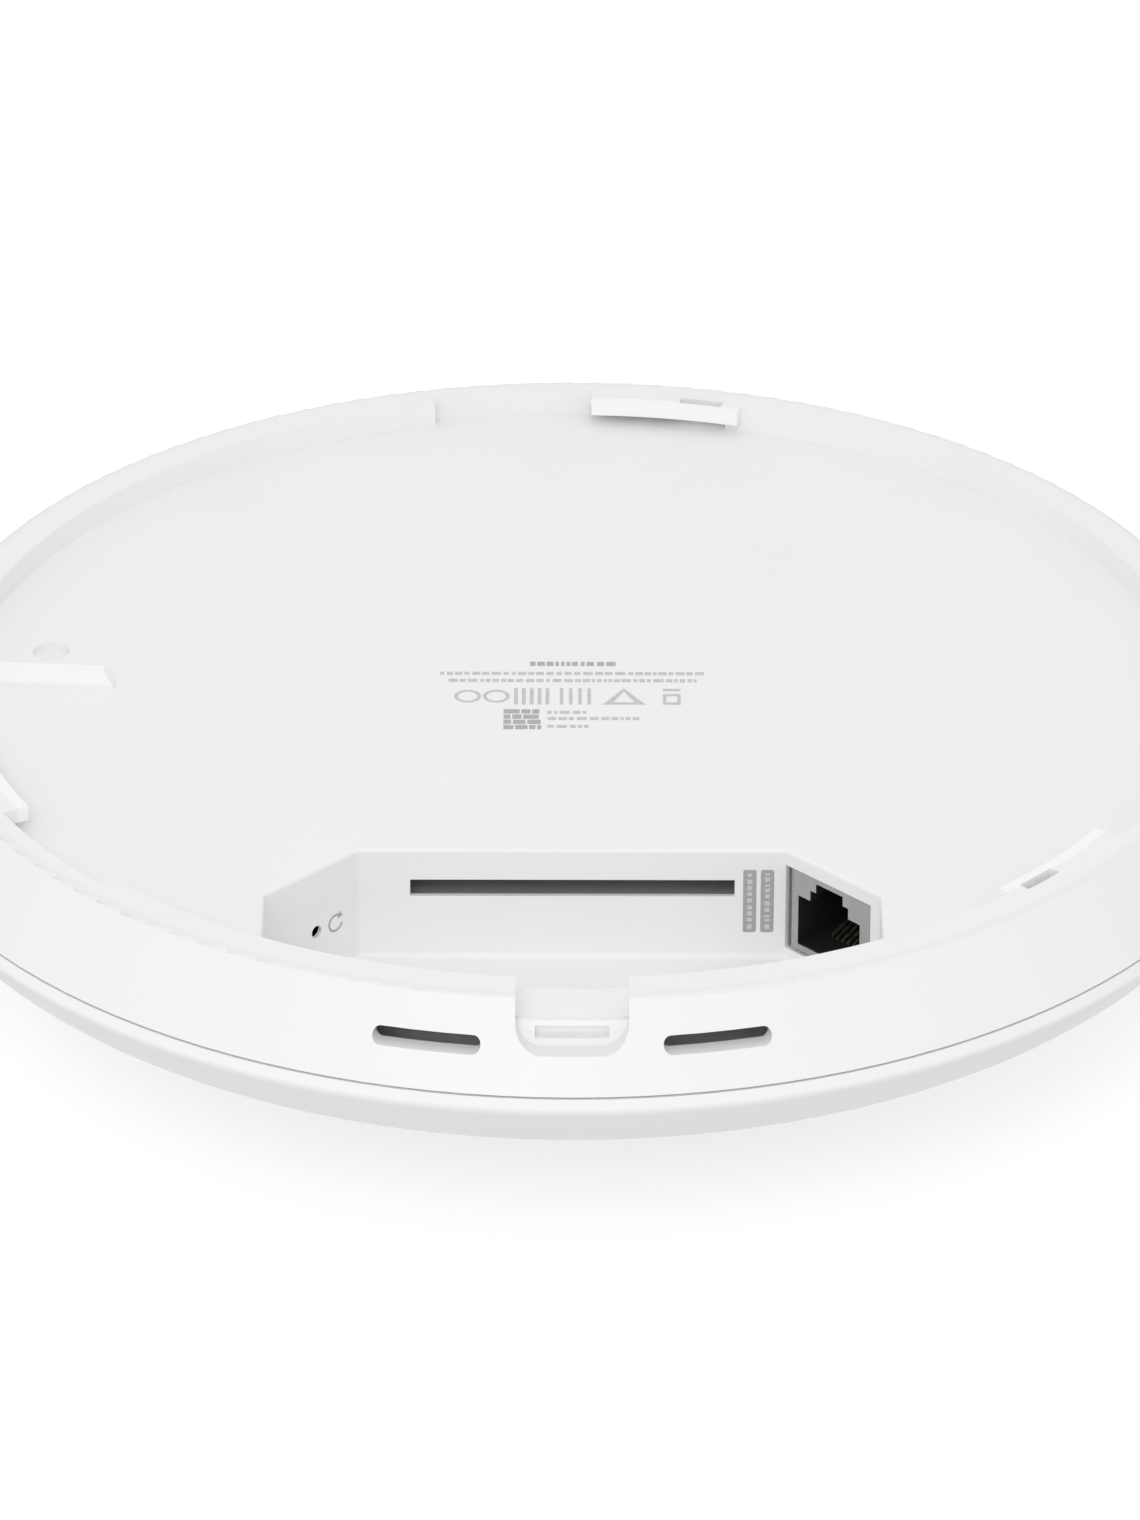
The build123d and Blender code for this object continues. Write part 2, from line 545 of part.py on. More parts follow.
with BuildPart() as chassis_plate:
    with BuildSketch(Plane.XY.offset(PLATE_BOTTOM_Z)):
        Circle(PLATE_R)
    extrude(amount=PLATE_THICKNESS)
    with BuildSketch(Plane.XY.offset(PLATE_TOP_Z)):
        with Locations(*[polar_point(BOSS_R, angle) for angle in BOSS_ANGLES]):
            Circle(CHASSIS_PAD_R)
    extrude(amount=BOARD_BOTTOM_Z - PLATE_TOP_Z)
    with BuildSketch(Plane.XY.offset(PLATE_BOTTOM_Z)):
        with Locations(*[polar_point(BOSS_R, angle) for angle in BOSS_ANGLES]):
            Circle(SCREW_R + SCREW_CLEARANCE)
        with Locations(*[polar_point(LEAD_HOLE_R, angle) for angle in ANTENNA_ANGLES]):
            Circle(LEAD_HOLE_SIZE_R)
        with Locations((0, INDICATOR_OPENING_Y)):
            Rectangle(*INDICATOR_OPENING)
    extrude(amount=BOARD_BOTTOM_Z - PLATE_BOTTOM_Z, mode=Mode.SUBTRACT)
    # stiffening ribs on the dome side
    with BuildSketch(Plane.XY.offset(PLATE_BOTTOM_Z)):
        for outer, inner in RIB_RING_RADII:
            with BuildSketch(mode=Mode.PRIVATE) as ring:
                Circle(outer)
                Circle(inner, mode=Mode.SUBTRACT)
            add(ring.sketch)
        for angle in PLATE_RIB_ANGLES:
            start, end = angle - RIB_HALF_ANGLE, angle + RIB_HALF_ANGLE
            add(sector(RIB_RING_RADII[1][0] - 1, RIB_RING_RADII[0][1] + 1, start, end))
    extrude(amount=-PLATE_RIB_DEPTH)

save(chassis_plate.part, "chassis_plate")

HEATSINK_Y = -20.5
HEATSINK_SIZE = (50.0, 31.0)
HEATSINK_PIN_AT = [(22.5, HEATSINK_Y + 12.0), (-22.5, HEATSINK_Y - 12.0)]
HEATSINK_PIN_R = 1.0

with BuildPart() as main_board:
    with BuildSketch(Plane.XY.offset(BOARD_BOTTOM_Z)):
        Circle(BOARD_R)
        add(bay_outline(BAY_WALL + 0.5), mode=Mode.SUBTRACT)
        with Locations((0, -BAY_FRONT_R)):
            Rectangle(2 * (BAY_HALF + BAY_WALL + 0.5), 24, mode=Mode.SUBTRACT)
        with Locations(*[polar_point(BOSS_R, angle) for angle in BOSS_ANGLES]):
            Circle(SCREW_R + SCREW_CLEARANCE, mode=Mode.SUBTRACT)
        with Locations(*HEATSINK_PIN_AT):
            Circle(HEATSINK_PIN_R, mode=Mode.SUBTRACT)
    extrude(amount=BOARD_THICKNESS)

save(main_board.part, "main_board")

SCREW_HEAD_R, SCREW_HEAD, SCREW_LENGTH = 2.5, 1.7, 14.0

with BuildPart() as board_screws:
    with BuildSketch(Plane.XY.offset(PLATE_BOTTOM_Z)):
        with Locations(*[polar_point(BOSS_R, angle) for angle in BOSS_ANGLES]):
            Circle(SCREW_HEAD_R)
    extrude(amount=-SCREW_HEAD)
    with BuildSketch(Plane.XY.offset(PLATE_BOTTOM_Z)):
        with Locations(*[polar_point(BOSS_R, angle) for angle in BOSS_ANGLES]):
            Circle(SCREW_R)
    extrude(amount=SCREW_LENGTH)

save(board_screws.part, "board_screws")

# flat lead from the indicator board, through the plate, to the underside of the main board
RIBBON_WIDTH, RIBBON_THICKNESS, RIBBON_BEND_R = 10.0, 0.3, 3.0
RIBBON_Z = LED_BOARD_TOP_Z + 0.8
RIBBON_PLUG_Y = 29.0
PLUG_LENGTH, PLUG_HEIGHT, PLUG_WIDTH = 4.0, 1.5, 12.0

with BuildPart() as indicator_lead:
    with BuildSketch(Plane.YZ):
        with BuildLine():
            FilletPolyline(
                (RIBBON_PLUG_Y, RIBBON_Z),
                (INDICATOR_OPENING_Y, RIBBON_Z),
                (INDICATOR_OPENING_Y, BOARD_BOTTOM_Z - PLUG_HEIGHT),
                radius=RIBBON_BEND_R,
            )
        trace(line_width=RIBBON_THICKNESS)
    extrude(amount=RIBBON_WIDTH / 2, both=True)
    with BuildSketch(Plane.YZ):
        with Locations((RIBBON_PLUG_Y, LED_BOARD_TOP_Z + PLUG_HEIGHT / 2)):
            Rectangle(PLUG_LENGTH, PLUG_HEIGHT)
        with Locations((INDICATOR_OPENING_Y, BOARD_BOTTOM_Z - PLUG_HEIGHT / 2)):
            Rectangle(PLUG_LENGTH, PLUG_HEIGHT)
    extrude(amount=PLUG_WIDTH / 2, both=True)

save(indicator_lead.part, "indicator_lead")

# ---------------------------------------------------------------- radios, under shields on the dome side
RADIO_ANGLES = (90, 210, 330)
RADIO_R = 32.0
SHIELD_SIZE, SHIELD_HEIGHT, SHEET = (30.0, 22.0), 2.0, 0.3
RADIO_CHIP_SIZE, RADIO_CHIP_HEIGHT = 12.0, 1.2
THERMAL_PAD_SIZE = (24.0, 16.0)

for number, angle in enumerate(RADIO_ANGLES, start=1):
    plane = hanging_plane(RADIO_R, angle, BOARD_BOTTOM_Z)
    with BuildPart() as radio_shield:
        with BuildSketch(plane):
            RectangleRounded(*SHIELD_SIZE, radius=1)
        extrude(amount=SHIELD_HEIGHT)
        with BuildSketch(plane):
            RectangleRounded(SHIELD_SIZE[0] - 2 * SHEET, SHIELD_SIZE[1] - 2 * SHEET, radius=0.8)
        extrude(amount=SHIELD_HEIGHT - SHEET, mode=Mode.SUBTRACT)
    save(radio_shield.part, f"radio_shield_{number}")

    with BuildPart() as radio_chip:
        with BuildSketch(plane):
            Rectangle(RADIO_CHIP_SIZE, RADIO_CHIP_SIZE)
        extrude(amount=RADIO_CHIP_HEIGHT)
    save(radio_chip.part, f"radio_chip_{number}")

with BuildPart() as thermal_pads:
    for angle in RADIO_ANGLES:
        with BuildSketch(hanging_plane(RADIO_R, angle, BOARD_BOTTOM_Z - SHIELD_HEIGHT)):
            Rectangle(*THERMAL_PAD_SIZE)
        extrude(amount=BOARD_BOTTOM_Z - SHIELD_HEIGHT - PLATE_TOP_Z)

save(thermal_pads.part, "thermal_pads")

# ---------------------------------------------------------------- antennas and their leads
ANTENNA_SHEET = 0.6
ANTENNA_HEIGHT = 6.0
FOOT_SIZE, FOOT_OFFSET = (6.0, 4.2), -1.8
TUNING_SLOT = 1.2                  # width of the slot in an antenna's top
LEAD_R = 0.6
LEAD_BEND_R = 3.0
LEAD_DROP = 1.2                    # how far below the plate a lead runs
CONNECTOR_R, CONNECTOR_HEIGHT = 1.3, 1.2

for index, angle in enumerate(ANTENNA_ANGLES):
    kind = ("low", "mid", "high")[index % 3]
    number = index // 3 + 1
    width, reach = ANTENNA_KINDS[kind]
    base = hanging_plane(ANTENNA_R, angle, PLATE_BOTTOM_Z)

    # stamped sheet: foot on the plate, riser, and a slotted top that reaches inwards
    with BuildPart() as antenna:
        with BuildSketch(base):
            with Locations((0, FOOT_OFFSET)):
                Rectangle(*FOOT_SIZE)
        extrude(amount=ANTENNA_SHEET)
        with BuildSketch(base):
            Rectangle(width, ANTENNA_SHEET)
        extrude(amount=ANTENNA_HEIGHT)
        with BuildSketch(base.offset(ANTENNA_HEIGHT - ANTENNA_SHEET)):
            with Locations((0, ANTENNA_SHEET / 2)):
                Rectangle(width, reach, align=(Align.CENTER, Align.MAX))
            with Locations((width * 0.12, -reach * 0.45)):
                Rectangle(width * 0.76, TUNING_SLOT, mode=Mode.SUBTRACT)
        extrude(amount=ANTENNA_SHEET)
    save(antenna.part, f"antenna_{kind}_band_{number}")

    # coaxial lead from the riser, out along the plate and up through it to the board
    lead_z = PLATE_BOTTOM_Z - LEAD_DROP
    start_r = ANTENNA_R + ANTENNA_SHEET / 2
    with BuildPart() as antenna_lead:
        with BuildLine(radial_plane(angle)) as route:
            FilletPolyline(
                (start_r, lead_z),
                (LEAD_HOLE_R, lead_z),
                (LEAD_HOLE_R, BOARD_BOTTOM_Z - CONNECTOR_HEIGHT),
                radius=LEAD_BEND_R,
            )
        with BuildSketch(Plane(origin=route.line @ 0, z_dir=route.line % 0)):
            Circle(LEAD_R)
        sweep()
        with BuildSketch(hanging_plane(LEAD_HOLE_R, angle, BOARD_BOTTOM_Z)):
            Circle(CONNECTOR_R)
        extrude(amount=CONNECTOR_HEIGHT)
    save(antenna_lead.part, f"antenna_lead_{index + 1}")

# ---------------------------------------------------------------- network jack
CAVITY_DEPTH = 13.0
CAVITY_BOTTOM = -5.4
CAVITY_SHIFT = 0.35                # offset of the cavity across the jack, towards the far wall
CAVITY_STEPS = ((12.0, 2.5), (7.4, 4.2), (5.2, 5.7))    # width and top of each step, above the middle
JACK_SHEET = 0.35


def jack_plane(depth):
    """Plane across the jack at a depth behind its face, centred on the jack, +Y up."""
    return corner_plane(1, JACK_MID_Z, JACK_SET_BACK + depth, JACK_SHIFT)


def cavity_outline():
    """Sketch of the plug cavity with the steps for the plug's latch."""
    with BuildSketch() as shape:
        for step_width, step_top in CAVITY_STEPS:
            with Locations((CAVITY_SHIFT, CAVITY_BOTTOM)):
                Rectangle(step_width, step_top - CAVITY_BOTTOM, align=(Align.CENTER, Align.MIN))
    return shape.sketch


with BuildPart() as jack_shell:
    with BuildSketch(jack_plane(0)):
        Rectangle(JACK_WIDTH, JACK_HEIGHT)
    extrude(amount=JACK_DEPTH)
    with BuildSketch(jack_plane(JACK_SHEET)):
        Rectangle(JACK_WIDTH - 2 * JACK_SHEET, JACK_HEIGHT - 2 * JACK_SHEET)
    extrude(amount=JACK_DEPTH, mode=Mode.SUBTRACT)
    with BuildSketch(jack_plane(0)):
        add(cavity_outline())
    extrude(amount=2 * JACK_SHEET, mode=Mode.SUBTRACT)

save(jack_shell.part, "jack_shell")

CONTACT_PITCH = 1.02
CONTACT_COUNT = 8
CONTACT_THICKNESS = 0.36
CONTACT_DEPTH = 0.4
# side view of a contact: depth behind the face and height above the jack's middle
CONTACT_ROOT = (12.4, -1.6)
CONTACT_TIP = (4.2, -4.9)

with BuildPart() as jack_insert:
    with BuildSketch(jack_plane(JACK_SHEET)):
        Rectangle(JACK_WIDTH - 2 * JACK_SHEET, JACK_HEIGHT - 2 * JACK_SHEET)
    extrude(amount=JACK_DEPTH - JACK_SHEET)
    with BuildSketch(jack_plane(JACK_SHEET)):
        add(cavity_outline())
    extrude(amount=CAVITY_DEPTH, mode=Mode.SUBTRACT)

save(jack_insert.part, "jack_insert")


def contact_plane(offset_along):
    """Side-view plane of the jack: +X into the jack and +Y up, moved across its width."""
    face = jack_plane(0)
    origin = face.origin + face.x_dir * (offset_along - CONTACT_THICKNESS / 2)
    return Plane(origin=origin, x_dir=face.z_dir, z_dir=-face.x_dir)


with BuildPart() as jack_contacts:
    for index in range(CONTACT_COUNT):
        across = CAVITY_SHIFT + (index - (CONTACT_COUNT - 1) / 2) * CONTACT_PITCH
        with BuildSketch(contact_plane(across)):
            with BuildLine():
                Polyline(
                    CONTACT_TIP,
                    (CONTACT_TIP[0], CONTACT_TIP[1] + CONTACT_DEPTH),
                    (CONTACT_ROOT[0], CONTACT_ROOT[1] + CONTACT_DEPTH),
                    (CAVITY_DEPTH + JACK_SHEET, CONTACT_ROOT[1] + CONTACT_DEPTH),
                    (CAVITY_DEPTH + JACK_SHEET, CONTACT_ROOT[1]),
                    CONTACT_ROOT,
                    close=True,
                )
            make_face()
        extrude(amount=CONTACT_THICKNESS)

save(jack_contacts.part, "jack_contacts")

# ---------------------------------------------------------------- reset button
SWITCH_FACE = 4.0                  # depth of the switch's face behind the bay side of the wall
SWITCH_DEPTH = 3.6
SWITCH_WIDTH, SWITCH_TOP_Z = 6.2, -10.6
PLUNGER_R = 1.5
PLUNGER_FIT = 0.05
FLANGE_R = 2.0
PLUNGER_TIP = 2.8
FLANGE_FROM, FLANGE_TO = 4.6, 5.1
POCKET_FROM, POCKET_TO = 4.5, 6.0
SNAP_DISC_FROM, SNAP_DISC_TO, SNAP_DISC_HOLLOW, SNAP_DISC_RIM = 5.7, 6.0, 0.15, 0.4

with BuildPart() as reset_switch:
    with BuildSketch(corner_plane(-1, (BOARD_TOP_Z + SWITCH_TOP_Z) / 2, SWITCH_FACE, RESET_SHIFT)):
        Rectangle(SWITCH_WIDTH, SWITCH_TOP_Z - BOARD_TOP_Z)
    extrude(amount=SWITCH_DEPTH)
    with BuildSketch(reset_plane(SWITCH_FACE)):
        Circle(PLUNGER_R + PLUNGER_FIT)
    extrude(amount=POCKET_FROM - SWITCH_FACE, mode=Mode.SUBTRACT)
    with BuildSketch(reset_plane(POCKET_FROM)):
        Circle(FLANGE_R + PLUNGER_FIT)
    extrude(amount=POCKET_TO - POCKET_FROM, mode=Mode.SUBTRACT)

save(reset_switch.part, "reset_switch")

with BuildPart() as reset_plunger:
    with BuildSketch(reset_plane(PLUNGER_TIP)):
        Circle(PLUNGER_R)
    extrude(amount=FLANGE_TO - PLUNGER_TIP)
    with BuildSketch(reset_plane(FLANGE_FROM)):
        Circle(FLANGE_R)
    extrude(amount=FLANGE_TO - FLANGE_FROM)

save(reset_plunger.part, "reset_plunger")

with BuildPart() as reset_snap_disc:
    with BuildSketch(reset_plane(SNAP_DISC_FROM)):
        Circle(FLANGE_R)
    extrude(amount=SNAP_DISC_TO - SNAP_DISC_FROM)
    with BuildSketch(reset_plane(SNAP_DISC_TO - SNAP_DISC_HOLLOW)):
        Circle(FLANGE_R - SNAP_DISC_RIM)
    extrude(amount=SNAP_DISC_HOLLOW, mode=Mode.SUBTRACT)

save(reset_snap_disc.part, "reset_snap_disc")

# ---------------------------------------------------------------- processor, heatsink and power parts
PACKAGE_SIZE, PACKAGE_HEIGHT = 21.0, 0.6
LID_SIZE, CHIP_HEIGHT = 15.0, 1.5
SINK_BASE_Z = -16.9
SINK_BASE_THICKNESS = 2.0
FIN_COUNT, FIN_THICKNESS, FIN_PITCH = 11, 1.0, 3.8
FIN_TOP_Z = -7.2
PIN_HEAD_R, PIN_HEAD = 2.2, 1.4
MEMORY_AT, MEMORY_SIZE, MEMORY_HEIGHT = [(-36, -12), (-36, -28)], (11.0, 13.0), 1.0
NETWORK_AT, NETWORK_SIZE, NETWORK_HEIGHT = (52, -20), (14.0, 12.0), 5.5

with BuildPart() as processor_chip:
    with BuildSketch(Plane.XY.offset(BOARD_TOP_Z)):
        with Locations((0, HEATSINK_Y)):
            Rectangle(PACKAGE_SIZE, PACKAGE_SIZE)
    extrude(amount=PACKAGE_HEIGHT)
    with BuildSketch(Plane.XY.offset(BOARD_TOP_Z + PACKAGE_HEIGHT)):
        with Locations((0, HEATSINK_Y)):
            Rectangle(LID_SIZE, LID_SIZE)
    extrude(amount=CHIP_HEIGHT - PACKAGE_HEIGHT)

save(processor_chip.part, "processor_chip")

with BuildPart() as processor_pad:
    with BuildSketch(Plane.XY.offset(BOARD_TOP_Z + CHIP_HEIGHT)):
        with Locations((0, HEATSINK_Y)):
            Rectangle(LID_SIZE, LID_SIZE)
    extrude(amount=SINK_BASE_Z - BOARD_TOP_Z - CHIP_HEIGHT)

save(processor_pad.part, "processor_pad")

with BuildPart() as processor_heatsink:
    with BuildSketch(Plane.XY.offset(SINK_BASE_Z)):
        with Locations((0, HEATSINK_Y)):
            RectangleRounded(*HEATSINK_SIZE, radius=2)
        with Locations(*HEATSINK_PIN_AT):
            Circle(HEATSINK_PIN_R, mode=Mode.SUBTRACT)
    extrude(amount=SINK_BASE_THICKNESS)
    with BuildSketch(Plane.XY.offset(SINK_BASE_Z + SINK_BASE_THICKNESS)):
        with Locations((0, HEATSINK_Y)):
            with GridLocations(FIN_PITCH, 0, FIN_COUNT, 1):
                Rectangle(FIN_THICKNESS, HEATSINK_SIZE[1])
    extrude(amount=FIN_TOP_Z - SINK_BASE_Z - SINK_BASE_THICKNESS)

save(processor_heatsink.part, "processor_heatsink")

with BuildPart() as heatsink_pins:
    with BuildSketch(Plane.XY.offset(SINK_BASE_Z + SINK_BASE_THICKNESS)):
        with Locations(*HEATSINK_PIN_AT):
            Circle(PIN_HEAD_R)
    extrude(amount=PIN_HEAD)
    with BuildSketch(Plane.XY.offset(BOARD_BOTTOM_Z)):
        with Locations(*HEATSINK_PIN_AT):
            Circle(HEATSINK_PIN_R)
    extrude(amount=SINK_BASE_Z + SINK_BASE_THICKNESS - BOARD_BOTTOM_Z)

save(heatsink_pins.part, "heatsink_pins")

# open duct that leads the air from the heatsink to the outlet in the bay's far wall
DUCT_HALF, DUCT_WALL = 24.5, 1.0
DUCT_FRONT_Y, DUCT_BACK_Y = BAY_FAR_Y + BAY_WALL + 0.2, -36.3
DUCT_MID_Y = (DUCT_FRONT_Y + DUCT_BACK_Y) / 2
DUCT_LENGTH = DUCT_BACK_Y - DUCT_FRONT_Y
DUCT_FLOOR_Z, DUCT_TOP_Z = -12.6, -6.5
DUCT_LEG_R, DUCT_LEG_X = 1.6, 22.0

with BuildPart() as outlet_duct:
    with BuildSketch(Plane.XY.offset(DUCT_FLOOR_Z - DUCT_WALL)):
        with Locations((0, DUCT_MID_Y)):
            Rectangle(2 * DUCT_HALF, DUCT_LENGTH)
    extrude(amount=DUCT_TOP_Z - DUCT_FLOOR_Z + DUCT_WALL)
    with BuildSketch(Plane.XY.offset(DUCT_FLOOR_Z)):
        with Locations((0, DUCT_MID_Y)):
            Rectangle(2 * (DUCT_HALF - DUCT_WALL), DUCT_LENGTH + 1)
    extrude(amount=DUCT_TOP_Z - DUCT_FLOOR_Z, mode=Mode.SUBTRACT)
    with BuildSketch(Plane.XY.offset(BOARD_TOP_Z)):
        with Locations((DUCT_LEG_X, DUCT_MID_Y), (-DUCT_LEG_X, DUCT_MID_Y)):
            Circle(DUCT_LEG_R)
    extrude(amount=DUCT_FLOOR_Z - DUCT_WALL - BOARD_TOP_Z)

save(outlet_duct.part, "outlet_duct")

with BuildPart() as memory_chips:
    with BuildSketch(Plane.XY.offset(BOARD_TOP_Z)):
        with Locations(*MEMORY_AT):
            Rectangle(*MEMORY_SIZE)
    extrude(amount=MEMORY_HEIGHT)

save(memory_chips.part, "memory_chips")

with BuildPart() as network_transformer:
    with BuildSketch(Plane.XY.offset(BOARD_TOP_Z)):
        with Locations(NETWORK_AT):
            RectangleRounded(*NETWORK_SIZE, radius=0.5)
    extrude(amount=NETWORK_HEIGHT)

save(network_transformer.part, "network_transformer")

TRANSFORMER_AT = (58.0, 4.0)
CORE_SIZE, CORE_WINDOW = (20.0, 16.0), 13.0
CORE_BOTTOM_Z, CORE_TOP_Z, YOKE = BOARD_TOP_Z + 1.0, BOARD_TOP_Z + 10.5, 1.5
COIL_FORMER_R, COIL_BORE_R, COIL_R, COIL_GAP = 4.2, 3.4, 6.2, 0.1
CAPACITORS_AT, CAPACITOR_R, CAPACITOR_HEIGHT = [(44, 24), (54, 26), (44, 35)], 4.0, 10.5
INDUCTORS_AT, INDUCTOR_SIZE, INDUCTOR_HEIGHT = [(-44, 16), (-44, 27), (-55, 21)], 7.2, 4.2

with BuildPart() as power_transformer_core:
    with BuildSketch(Plane.XY.offset(CORE_BOTTOM_Z)):
        with Locations(TRANSFORMER_AT):
            Rectangle(*CORE_SIZE)
            Rectangle(CORE_WINDOW, CORE_SIZE[1] + 1, mode=Mode.SUBTRACT)
    extrude(amount=CORE_TOP_Z - CORE_BOTTOM_Z)
    for yoke_z in (CORE_BOTTOM_Z, CORE_TOP_Z - YOKE):
        with BuildSketch(Plane.XY.offset(yoke_z)):
            with Locations(TRANSFORMER_AT):
                Rectangle(*CORE_SIZE)
                Circle(COIL_FORMER_R, mode=Mode.SUBTRACT)
        extrude(amount=YOKE)

save(power_transformer_core.part, "power_transformer_core")

with BuildPart() as power_transformer_coil:
    with BuildSketch(Plane.XY.offset(CORE_BOTTOM_Z + YOKE + COIL_GAP)):
        with Locations(TRANSFORMER_AT):
            Circle(COIL_R)
            Circle(COIL_BORE_R, mode=Mode.SUBTRACT)
    extrude(amount=CORE_TOP_Z - CORE_BOTTOM_Z - 2 * YOKE - 2 * COIL_GAP)
    with BuildSketch(Plane.XY.offset(BOARD_TOP_Z)):
        with Locations(TRANSFORMER_AT):
            Circle(COIL_FORMER_R)
            Circle(COIL_BORE_R, mode=Mode.SUBTRACT)
    extrude(amount=CORE_TOP_Z - BOARD_TOP_Z)

save(power_transformer_coil.part, "power_transformer_coil")

with BuildPart() as power_capacitors:
    with BuildSketch(Plane.XY.offset(BOARD_TOP_Z)):
        with Locations(*CAPACITORS_AT):
            Circle(CAPACITOR_R)
    extrude(amount=CAPACITOR_HEIGHT)
    fillet(power_capacitors.edges().group_by(Axis.Z)[-1], radius=0.5)

save(power_capacitors.part, "power_capacitors")

with BuildPart() as power_inductors:
    with BuildSketch(Plane.XY.offset(BOARD_TOP_Z)):
        with Locations(*INDUCTORS_AT):
            RectangleRounded(INDUCTOR_SIZE, INDUCTOR_SIZE, radius=0.8)
    extrude(amount=INDUCTOR_HEIGHT)

save(power_inductors.part, "power_inductors")

# ---------------------------------------------------------------- blower
FAN_FLOOR_Z = FAN_BASE_Z + 1.2
FAN_COVER_Z = FAN_TOP_Z - FAN_COVER_THICKNESS
FAN_CAVITY_R = 20.5
ROTOR_R = 17.0
ROTOR_BOTTOM_Z, ROTOR_TOP_Z = -16.3, -9.6
HUB_R, CUP_R = 9.0, 8.2
TUBE_R, TUBE_TOP_Z = 2.7, -11.9
STATOR_R = 6.8
DISC_THICKNESS = 0.8               # rotor disc and cup top
BLADE_COUNT, BLADE_MID_R, BLADE_SIZE, BLADE_SWEEP, BLADE_HEIGHT = 24, 13.7, (6.4, 0.6), 32, 5.4
MAGNET_THICKNESS, MAGNET_HEIGHT, MAGNET_LIFT = 0.9, 4.6, 0.6
STATOR_BOTTOM_Z, STATOR_HEIGHT = -15.4, 2.6
COIL_OVERHANG = 0.4
FAN_CORNER_R = 3.0
FAN_OUTLET_WIDTH = 32.0
FAN_FOOT_R = 2.6
FAN_EYE_R = 13.0
FAN_BOARD_THICKNESS = 0.6
FAN_SCREW_HEAD_R, FAN_SCREW_HEAD = 2.2, 1.4
FAN_CENTRE = (0, FAN_Y)
FAN_SCREWS_AT = [
    (x * FAN_SCREW_OFFSET, FAN_Y + y * FAN_SCREW_OFFSET) for x in (-1, 1) for y in (-1, 1)
]

with BuildPart() as fan_frame:
    with BuildSketch(Plane.XY.offset(FAN_BASE_Z)):
        with Locations(FAN_CENTRE):
            RectangleRounded(FAN_SIZE, FAN_SIZE, radius=FAN_CORNER_R)
    extrude(amount=FAN_COVER_Z - FAN_BASE_Z)
    with BuildSketch(Plane.XY.offset(FAN_FLOOR_Z)):
        with Locations(FAN_CENTRE):
            Circle(FAN_CAVITY_R)
        with Locations((0, FAN_Y - FAN_SIZE / 2)):
            Rectangle(FAN_OUTLET_WIDTH, FAN_SIZE)
    extrude(amount=FAN_COVER_Z - FAN_FLOOR_Z, mode=Mode.SUBTRACT)
    with BuildSketch(Plane.XY.offset(FAN_FLOOR_Z)):
        with Locations(FAN_CENTRE):
            Circle(TUBE_R)
    extrude(amount=TUBE_TOP_Z - FAN_FLOOR_Z)
    with BuildSketch(Plane.XY.offset(FAN_FLOOR_Z)):
        with Locations(FAN_CENTRE):
            Circle(BEARING_R)
    extrude(amount=TUBE_TOP_Z - FAN_FLOOR_Z, mode=Mode.SUBTRACT)
    # feet down to the board and the screw holes through them
    with BuildSketch(Plane.XY.offset(BOARD_TOP_Z)):
        with Locations(*FAN_SCREWS_AT):
            Circle(FAN_FOOT_R)
    extrude(amount=FAN_BASE_Z - BOARD_TOP_Z)
    with BuildSketch(Plane.XY.offset(BOARD_TOP_Z)):
        with Locations(*FAN_SCREWS_AT):
            Circle(SCREW_R)
    extrude(amount=FAN_COVER_Z - BOARD_TOP_Z, mode=Mode.SUBTRACT)

save(fan_frame.part, "fan_frame")

with BuildPart() as fan_cover:
    with BuildSketch(Plane.XY.offset(FAN_COVER_Z)):
        with Locations(FAN_CENTRE):
            RectangleRounded(FAN_SIZE, FAN_SIZE, radius=FAN_CORNER_R)
            Circle(FAN_EYE_R, mode=Mode.SUBTRACT)
        with Locations(*FAN_SCREWS_AT):
            Circle(SCREW_R, mode=Mode.SUBTRACT)
    extrude(amount=FAN_COVER_THICKNESS)

save(fan_cover.part, "fan_cover")

with BuildPart() as fan_screws:
    with BuildSketch(Plane.XY.offset(FAN_TOP_Z)):
        with Locations(*FAN_SCREWS_AT):
            Circle(FAN_SCREW_HEAD_R)
    extrude(amount=FAN_SCREW_HEAD)
    with BuildSketch(Plane.XY.offset(BOARD_TOP_Z)):
        with Locations(*FAN_SCREWS_AT):
            Circle(SCREW_R)
    extrude(amount=FAN_TOP_Z - BOARD_TOP_Z)

save(fan_screws.part, "fan_screws")

with BuildPart() as fan_impeller:
    with BuildSketch(Plane.XY.offset(ROTOR_BOTTOM_Z)):
        with Locations(FAN_CENTRE):
            Circle(ROTOR_R)
            Circle(CUP_R, mode=Mode.SUBTRACT)
    extrude(amount=DISC_THICKNESS)
    with BuildSketch(Plane.XY.offset(ROTOR_BOTTOM_Z)):
        with Locations(FAN_CENTRE):
            Circle(HUB_R)
            Circle(CUP_R, mode=Mode.SUBTRACT)
    extrude(amount=ROTOR_TOP_Z - ROTOR_BOTTOM_Z)
    with BuildSketch(Plane.XY.offset(ROTOR_TOP_Z - DISC_THICKNESS)):
        with Locations(FAN_CENTRE):
            Circle(HUB_R)
            Circle(SHAFT_R, mode=Mode.SUBTRACT)
    extrude(amount=DISC_THICKNESS)
    # swept blades that stand on the rotor's disc
    with BuildSketch(Plane.XY.offset(ROTOR_BOTTOM_Z + DISC_THICKNESS)):
        with Locations(FAN_CENTRE):
            with PolarLocations(BLADE_MID_R, BLADE_COUNT):
                Rectangle(*BLADE_SIZE, rotation=BLADE_SWEEP)
    extrude(amount=BLADE_HEIGHT)

save(fan_impeller.part, "fan_impeller")

